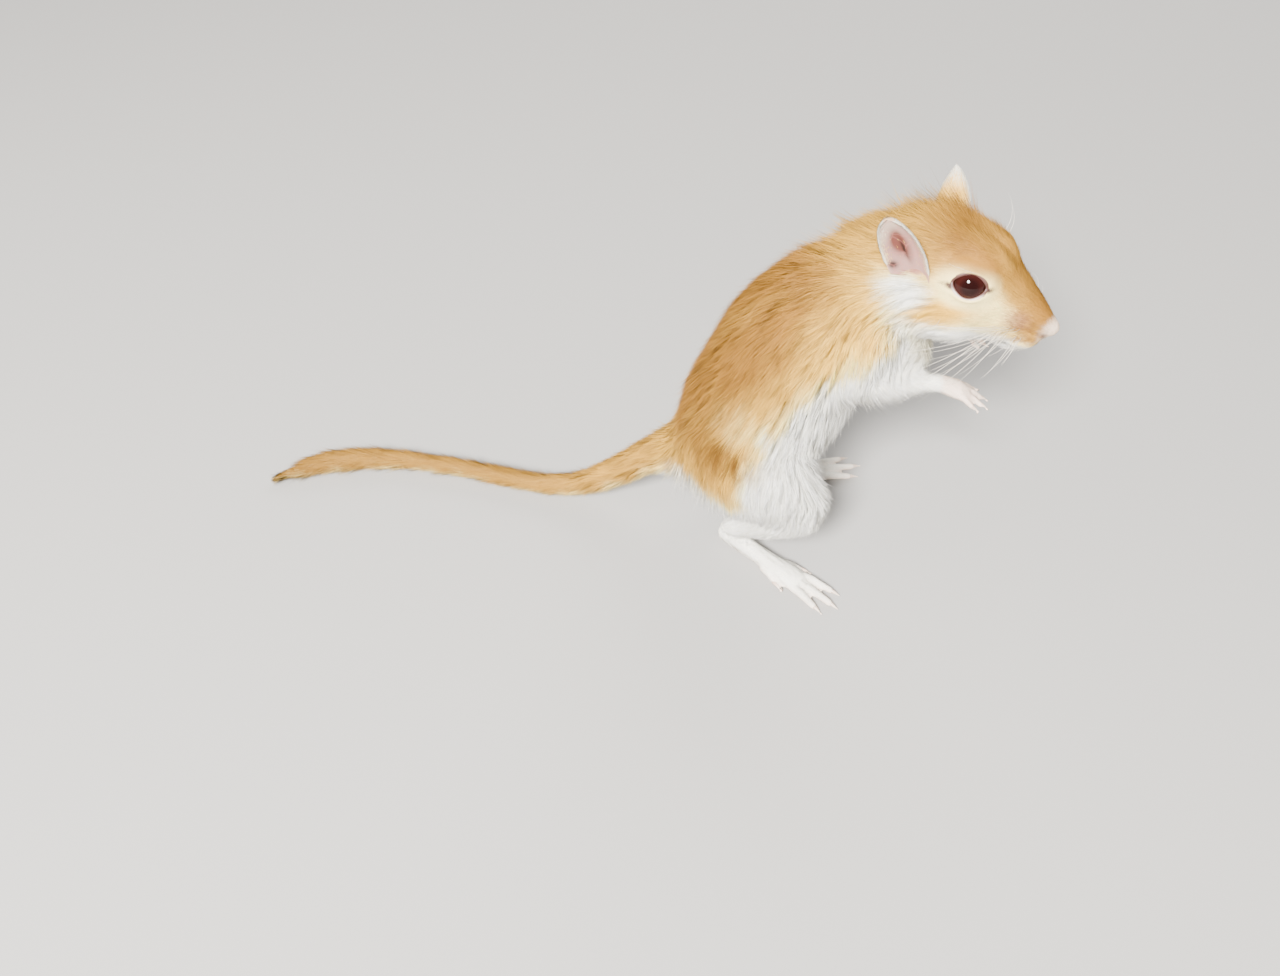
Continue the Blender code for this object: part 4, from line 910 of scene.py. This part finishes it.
# Each tuft's corners, its two root sides, ridge and tip, are painted darker towards the root: painted shade
# deep in the coat.
TUFT_PAINTED_SHADE = np.array((0.60, 0.60, 0.68, 1.10))
LOCK_SIZE, STREAK, FINE_STREAK, TILT_REACH = 1.7, 1.15, 0.5, 0.28
PROUD_SHARE = 0.05
BRUSH_LENGTH, BRUSH_CLOSED = 4.2, 0.4
# Ovals where the hair is longer or stands up, on both sides but for the crest, whose middle is on the left.
RUFF = (13.0, 12.0, 63.0), (9.0, 9.0, 8.5), 0.45
CREST = (15.0, 2.0, 74.5), (12.0, 12.0, 6.0), 0.4
UNDER_ARM = (28.0, 12.5, 50.4), (8.5, 4.5, 3.0), 0.35
CROWN = (26.0, 0.0, 12.0), (7.5, 9.0, 5.0), 0.4
TEMPLE = (18.0, 3.4, 12.2), (5.0, 3.4, 2.6), 0.4
LIP_FRINGE = (5.5, 3.4, -3.4), (4.8, 3.4, 1.3), 0.4


def place_on_skin(points):
    """The nearest place on the skin and the skin's way out there, for each point, by two shrinkwraps."""
    found = []
    for lift in (0.0, 1.0):
        probe = new_piece("probe", points, [], [])
        wrap = probe.modifiers.new("Onto the skin", "SHRINKWRAP")
        wrap.target = skin
        wrap.wrap_method = "NEAREST_SURFACEPOINT"
        wrap.wrap_mode = "ABOVE_SURFACE"
        wrap.offset = lift * MM
        with_modifiers(probe)
        found.append(points_of(probe.data))
        bpy.data.objects.remove(probe)
    return found[0], unit(found[1] - found[0])


def scattered(points, normals, triangles, density, seed):
    """Roots over a mesh: triangles drawn evenly by area times density, then a random place in each."""
    draw = np.random.default_rng(seed)
    a, b, c = (points[triangles[:, i]] for i in range(3))
    area = np.linalg.norm(np.cross(b - a, c - a), axis=1) / 2
    total = np.cumsum(area * density[triangles].mean(1))
    count = int(total[-1])
    pick = np.searchsorted(total, (np.arange(count) + draw.random(count)) / count * total[-1])
    pick = np.minimum(pick, len(triangles) - 1)
    first, second = np.sqrt(draw.random(count)), draw.random(count)
    share = np.stack([1 - first, first * (1 - second), first * second], 1)[..., None]
    chosen = triangles[pick]
    return (points[chosen] * share).sum(1), unit((normals[chosen] * share).sum(1))


def gathered(points, size, seed):
    """The middle of each root's lock: the nearest of seeded points, one in each cell of a grid."""
    cell = np.floor(points / size).astype(np.int64)
    best = np.full(len(points), np.inf)
    middle = points.copy()
    for offset in np.stack(np.meshgrid(*[(-1, 0, 1)] * 3), -1).reshape(-1, 3):
        other = cell + offset
        mixed = (other[:, 0] * 73856093) ^ (other[:, 1] * 19349663) ^ (other[:, 2] * 83492791) ^ seed
        parts = [((mixed * factor) % 104729) / 104729 for factor in (7919, 15485, 3571)]
        place = (other + np.stack(parts, 1)) * size
        far = ((points - place) ** 2).sum(1)
        closer = far < best
        best[closer] = far[closer]
        middle[closer] = place[closer]
    return middle


def streaks(points, lie, size, seed):
    """Noise drawn out along the hairs: the mean of the waves from two sizes behind a place to two ahead."""
    return sum(waves(points + lie * far, size, seed, 2) for far in np.linspace(-2.0, 2.0, 7) * size) / 2.8


def along_skin(vectors, normals):
    """The vectors less their part along the normals."""
    return vectors - normals * (vectors * normals).sum(1)[:, None]


def atlas_place(row, along, turn):
    """A tuft's place on the unwrap: each line or ear has a row, with its length across and its girth up."""
    return np.stack([along, (row + 0.06 + 0.88 * turn) / len(ATLAS_ROWS)], 1)


def tuft_mesh(name, root, tip, normal, tip_normal, width, tilt, colour, patch):
    """Closed three-sided tufts: slivers from a low roof at the root to a point.

    They are lit as the skin is, tilted to one side or the other as the lock that they lie in is.
    """
    side = unit(np.cross(normal, unit(tip - root)))
    half = width[:, None]
    points = np.stack([root + side * half, root - side * half, root + normal * half * 0.8, tip], 1)
    pattern = np.array([0, 2, 3, 2, 1, 3, 1, 0, 3, 0, 1, 2])
    corners = (pattern + np.arange(len(root))[:, None] * 4).ravel()
    # painted shade, darker towards each tuft's root
    tint = np.clip(colour[:, None] * TUFT_PAINTED_SHADE[:, None], 0, 0.97).reshape(-1, 3)
    made = new_piece(name, points.reshape(-1, 3), corners, np.full(4 * len(root), 3), tint)
    spread = np.array([(-1, -1), (1, -1), (0, -0.6), (0, 1)]) * (PATCH / 2)
    layer = made.data.uv_layers.new(name="OFBake")
    layer.data.foreach_set("uv", (patch[:, None] + spread[pattern]).astype(np.float32).ravel())
    lean = side * tilt[:, None]
    lit = np.stack([normal + side * 0.5, normal - side * 0.5, normal, tip_normal], 1) + lean[:, None]
    made.data.normals_split_custom_set_from_vertices(unit(lit).reshape(-1, 3))
    return made


guard_hair = Finish("guard_hair", Specular_IOR_Level=0.2)
fleck = guard_hair.noise(1400.0)
guard_hair.wire(Base_Color=guard_hair.flecked(fleck * 0.35, (0.82, 0.72, 0.62)), Roughness=0.5 + fleck * 0.25)

# No hair grows on the eyes, the lips, the nostrils, the tip of the nose, the soles and the cups of the ears.
back = head_places(skin_points)[0]
clear = np.ones(len(skin_points))
for side in (-1, 1):
    local = (skin_points - eye_middle[side]) @ eye_axes(side)
    oval = np.hypot(local[:, 0] / (EYE_HALF_WIDTH * 1.36), local[:, 2] / (EYE_HALF_HEIGHT * 1.40))
    clear *= np.where(local[:, 1] > 0, step(oval, 0.94, 1.06), 1.0) * (np.linalg.norm(local, axis=1) > 3.75)
    clear *= 1 - np.clip(press(skin_points, head_line(NOSTRIL, side), 0.5, 1.6), 0, 1)
    clear *= 1 - np.clip(press(skin_points, head_line(MOUTH, side), 0.3, 1.6), 0, 1)
clear *= 1 - spot(head_places(skin_points), *EAR_CUP, 0.15)
clear *= step(back, 0.25, 0.8) * np.where(skin_points[:, 2] < 0.7, 0.0, 1.0)
skin.data.calc_loop_triangles()
triangles = array_of(skin.data.loop_triangles, "vertices", np.int32)
root, normal = scattered(skin_points, normals_of(skin.data), triangles, skin_coat.density * clear, 11)
coat = coat_at(root)
draw = np.random.default_rng(12)
count = len(root)

# Where the hair is longer or stands up.
face, body = head_places(root), body_places(root)
x, y, z = (root - heels).T
kinds = KINDS[coat.home]
ruffled, under_arm = spot(body, *RUFF), spot(body, *UNDER_ARM)
crest, skirt = spot((x, y, z), *CREST), spot(body, *SKIRT) * (kinds != "tail")
crown, temple, fringe = (spot(face, *oval) * coat.head for oval in (CROWN, TEMPLE, LIP_FRINGE))

# How it lies: along the body, wandering a little, and down at the lip, under the tail and under the forelegs.
wander = sum(np.stack([waves(root, size, seed + i) for i in range(3)], 1) * share
             for size, seed, share in ((9.0, 20, 0.22), (2.6, 30, 0.14)))
lie = unit(along_skin(coat.lie + wander + draw.normal(size=(count, 3)) * 0.06, normal))
lie = lie - head_axes[:, 2] * (fringe * 0.9)[:, None] - np.array((0.5, 0.0, 1.0)) * (skirt * 0.8)[:, None]
hang = np.stack([np.full(count, 0.15), np.sign(y) * 0.35, np.full(count, -1.0)], 1)
lie = unit(along_skin(unit(lie + hang * (under_arm * 0.9)[:, None]), normal))
length = coat.length * draw.uniform(0.72, 1.12, count)
long_hair = step(length, 1.4, 4.0)
length = length * (1.0 + 0.7 * fringe + 0.3 * skirt + 0.25 * crown + 0.4 * temple + 0.7 * under_arm)

# How it gathers in streaks and locks, and how far it rises off the skin; a few hairs stand proud of the rest.
across = np.cross(normal, lie)
streak, fine = streaks(root, lie, STREAK, 61), streaks(root, lie, FINE_STREAK, 62)
slope = (streaks(root - across * TILT_REACH, lie, STREAK, 61)
         - streaks(root + across * TILT_REACH, lie, STREAK, 61))
tilt = slope * (0.35 + 0.65 * long_hair) * (1.1 - 0.6 * coat.head) + draw.normal(size=count) * 0.22
proud = draw.random(count) < PROUD_SHARE
rise = coat.depth * np.where(proud, draw.uniform(1.05, 1.55, count), draw.uniform(0.35, 1.0, count))
rise *= 1.0 + 0.2 * waves(root, 4.0, 41) + 0.35 * np.clip(streak, -1, 1)
rise *= 1.0 + 0.7 * crest + 1.6 * crown + 1.8 * temple + 1.6 * skirt + 2.2 * under_arm
rise *= 1.0 + np.maximum(crest, crown) * 0.75 * waves(root, 1.9, 42, 2)
toward = along_skin(gathered(root, LOCK_SIZE, 5) - root, normal)
length = length * (1.0 - 0.7 * spot(head_places(root + lie * length[:, None]), *EAR_CUP, 0.4))
straight = root + lie * length[:, None] + toward * ((0.28 + 0.42 * ruffled) * long_hair)[:, None]
reach, skin_way = place_on_skin(straight)

# Hairs that run out past the end of the tail close into a brush there.
tail_end = lines["tail"][-1, :3]
tail_way = unit(tail_end - lines["tail"][-2, :3])
past = np.maximum((straight - tail_end) @ tail_way, 0.0)
brush = step(past, 0.0, 0.8) * (kinds == "tail")
on_axis = tail_end + tail_way * (BRUSH_LENGTH * (1.0 - np.exp(-past / BRUSH_LENGTH)))[:, None]
off_axis = straight - tail_end - tail_way * past[:, None]
reach = paint(reach, on_axis + off_axis * BRUSH_CLOSED, brush)
skin_way = unit(paint(skin_way, normal, brush))
tip = reach + skin_way * (rise * (1.0 - 0.8 * brush))[:, None]
tip[:, 2] = np.maximum(tip[:, 2], 0.15)
start = root - normal * (ROOT_SUNK * np.minimum(length / 3.0, 1.0))[:, None]

# The markings, lighter and darker along the streaks, with painted shade in the gaps between locks and a tone
# for each hair.
colour = paint(markings(root, coat.home, coat.head), WHITE, fringe * 0.9)
gap_shade = step(-streak, 0.35, 0.9) * (0.32 * ruffled + 0.2 * long_hair * (1.0 - 0.7 * coat.head))
uneven = 0.16 * streak * (0.4 + 0.6 * long_hair) * (1.0 - 0.5 * coat.head) - gap_shade
uneven *= 1.0 - 0.55 * step(colour.min(axis=1), 0.3, 0.75)
lightness = 1.0 + draw.normal(size=count) * 0.09 + 0.13 * fine + uneven
warmth = draw.normal(size=count)[:, None] * np.array((0.012, 0.0, -0.02))
colour = np.clip(colour * lightness[:, None] * (1 + warmth), 0.0, 0.97)

patch = atlas_place(coat.home, 0.01 + 0.98 * coat.share, coat.turn / (2 * math.pi) + 0.5)
on_left = np.where(kinds == "head", ((root - nose_tip) @ head_axes)[:, 1] > 0, y > 0)
groups = np.where(np.isin(kinds, ("head", "trunk", "tail")), kinds, "legs")
in_cup = spot(head_places(reach), *EAR_CUP, 0.1) > 0.5
for group in ("head", "trunk", "tail", "legs"):
    for word, side in SIDES.items():
        mine = np.flatnonzero((groups == group) & (on_left == (side > 0)) & ~in_cup)
        for number, part in enumerate(np.array_split(mine, max(1, math.ceil(len(mine) / MOST_TUFTS)))):
            made = tuft_mesh(f"coat_{group}_{word}_{number + 1}", start[part], tip[part], normal[part],
                             skin_way[part], coat.width[part], tilt[part], colour[part], patch[part])
            settle_piece(made, guard_hair, "cream_fur" if group == "legs" else "golden_fur")

# Down on the ears: gold on their backs, white along their rims.
EAR_TUFTS, EAR_TUFT_HALF_WIDTH = 5200, 0.035
for word, side in SIDES.items():
    on_rim = draw.random(EAR_TUFTS) < 0.4
    rim_turn = draw.integers(0, 2, EAR_TUFTS) * math.pi + draw.normal(size=EAR_TUFTS) * 0.4
    turn = np.where(on_rim, rim_turn, draw.uniform(math.pi, 2 * math.pi, EAR_TUFTS))
    v = draw.uniform(0.16, 0.975, EAR_TUFTS)
    place = ear_sheet(side, turn, v)
    along = unit(ear_sheet(side, turn, v + 0.02) - place)
    ways = unit(np.cross(ear_sheet(side, turn + 0.02, v) - place, along))
    ways *= np.sign((ways * (place - ear_points(side, np.cos(turn), v, np.zeros_like(v)))).sum(1))[:, None]
    size = draw.uniform(0.6, 1.15, EAR_TUFTS) * (1.0 - 0.35 * v)
    tip = place + along * size[:, None] + ways * (size * draw.uniform(0.12, 0.4, EAR_TUFTS))[:, None]
    white = np.clip(np.abs(np.cos(turn)) ** 6 + step(v, 0.5, 0.85), 0, 1) * 0.85
    tint = paint(np.tile(GOLD_LIGHT, (EAR_TUFTS, 1)), WHITE, white)
    tint = np.clip(tint * (1.0 + draw.normal(size=EAR_TUFTS) * 0.1)[:, None], 0, 0.97)
    patch = atlas_place(ATLAS_ROWS["ear_" + word], 0.02 + 0.96 * v, turn / (2 * math.pi) % 1.0)
    made = tuft_mesh("coat_ear_" + word, place - ways * 0.03, tip, ways, ways,
                     np.full(EAR_TUFTS, EAR_TUFT_HALF_WIDTH), draw.normal(size=EAR_TUFTS) * 0.2, tint, patch)
    settle_piece(made, guard_hair, "golden_fur")


# Whiskers. Stiff pale bristles in four rows on each whisker pad, two over each eye and one on each cheek;
# they spring outwards, sweep back in a long curve and taper to nothing.
WHISKER_ROWS = ((3.4, 0.6), (3.8, -0.6), (4.2, -1.8), (4.8, -2.9))
WHISKERS_IN_ROW, WHISKER_GAP = 6, 0.85
BROW_AND_CHEEK = ((14.0, 10.2, 8.0), (15.4, 10.6, 10.0), (18.5, -1.5, 9.0))
PAD_THICK, BROW_THICK, WHISKER_SUNK, WHISKER_STEPS = 0.050, 0.045, 0.4, 14
WHISKER_PALE, WHISKER_BASE = np.array((0.80, 0.74, 0.64)), np.array((0.62, 0.50, 0.38))


def whisker(root, out, sweep, length, thick):
    """A bristle: along its first way at the root, bending to the second as the square of the share."""
    t = np.linspace(0, 1, WHISKER_STEPS)[:, None]
    out, sweep = head_axes @ unit(np.array(out)), head_axes @ np.array(sweep)
    path = root - out * WHISKER_SUNK + length * (out * (t - 0.35 * t**2) + sweep * (0.45 * t**2))
    return tube(path, thick * (1 - 0.9 * t**0.9), 5)


bristle = Finish("whisker", Specular_IOR_Level=0.5)
bristle.wire(Base_Color=bristle.colour(), Roughness=0.35 + bristle.noise(900.0) * 0.1)
pale = step(np.linspace(0, 1, WHISKER_STEPS), 0.0, 0.25)[:, None, None]
bristle_tint = WHISKER_BASE + (WHISKER_PALE - WHISKER_BASE) * pale
draw = np.random.default_rng(7)
for word, side in SIDES.items():
    starts, details = [], []
    for row, (back, up) in enumerate(WHISKER_ROWS):
        for i in range(WHISKERS_IN_ROW):
            starts.append(on_head(back + i * WHISKER_GAP, side * 9.0, up - i * 0.12 + draw.normal() * 0.12))
            length = (9.0 + i * 3.4 - row * 0.8) * draw.uniform(0.85, 1.12)
            out = (0.08 - i * 0.12, side * 1.0, 0.42 - row * 0.34 - i * 0.05)
            sweep = (-0.35 - 0.12 * i, side * -0.1, -0.15 - row * 0.30)
            details.append((out, sweep, length, PAD_THICK))
    for back, up, length in BROW_AND_CHEEK:
        starts.append(on_head(back, side * 12.0, up))
        out = (0.1, side * 0.9, 0.5 if up > 0 else -0.2)
        details.append((out, (-0.8, side * 0.3, 0.2), length, BROW_THICK))
    roots, _ = place_on_skin(np.array(starts))
    bristles = [whisker(root, *detail) for root, detail in zip(roots, details)]
    whiskers = closed_tubes("whiskers_" + word, bristles, [bristle_tint] * len(bristles))
    settle_piece(whiskers, bristle, "cream_fur")


# Studio. A plain pale floor under the feet, one broad lamp high on the left, a weaker one on the right and
# pale air all round. The camera looks down on the animal's right side, as it was seen.
CAMERA_FROM_HEELS = np.array((17.56, -186.30, 194.16))
CAMERA_AZIMUTH, CAMERA_ELEVATION = 12.0, 45.0
LENS = 32.48
FLOOR_HALF = 900.0
corners = np.array([(-1, -1, 0), (1, -1, 0), (1, 1, 0), (-1, 1, 0)]) * FLOOR_HALF
floor = new_piece("floor", corners, [0, 1, 2, 3], [4])
paper = Finish("pale_floor", Specular_IOR_Level=0.2)
paper.wire(Base_Color=paper.mix(paper.noise(6.0) * 0.4, (0.37, 0.362, 0.352), (0.35, 0.343, 0.335)),
           Roughness=0.8 + paper.noise(40.0) * 0.1)
floor.data.materials.append(paper.material)


def lamp(name, place, aim, size, power, tint):
    light = bpy.data.lights.new(name, "AREA")
    light.shape, light.size, light.energy, light.color = "DISK", size, power, tint
    made = bpy.data.objects.new(name, light)
    bpy.context.scene.collection.objects.link(made)
    made.location = Vector(place)
    made.rotation_euler = (Vector(aim) - Vector(place)).to_track_quat("-Z", "Y").to_euler()
    made.visible_glossy = name == "key_lamp"


lamp("key_lamp", (-0.08, -0.66, 0.62), (0.02, 0.0, 0.05), 0.24, 48.0, (1.0, 0.975, 0.93))
lamp("fill_lamp", (-0.70, -0.35, 0.50), (0.02, 0.0, 0.05), 0.6, 2.5, (1.0, 0.98, 0.96))
lamp("back_lamp", (0.1, 0.65, 0.5), (0.0, 0.0, 0.05), 0.5, 6.0, (1.0, 0.98, 0.95))
air = bpy.data.worlds.new("pale_air")
air.use_nodes = True
air.node_tree.nodes["Background"].inputs["Color"].default_value = (1.0, 0.985, 0.965, 1.0)
air.node_tree.nodes["Background"].inputs["Strength"].default_value = 0.40
bpy.context.scene.world = air

camera_data = bpy.data.cameras.new("camera")
camera_data.lens, camera_data.sensor_width, camera_data.clip_start = LENS, 36.0, 0.005
camera = bpy.data.objects.new("camera", camera_data)
bpy.context.scene.collection.objects.link(camera)
camera.location = tuple((heels + CAMERA_FROM_HEELS) * MM)
camera.rotation_euler = (math.radians(90.0 - CAMERA_ELEVATION), 0.0, math.radians(CAMERA_AZIMUTH))
bpy.context.scene.camera = camera
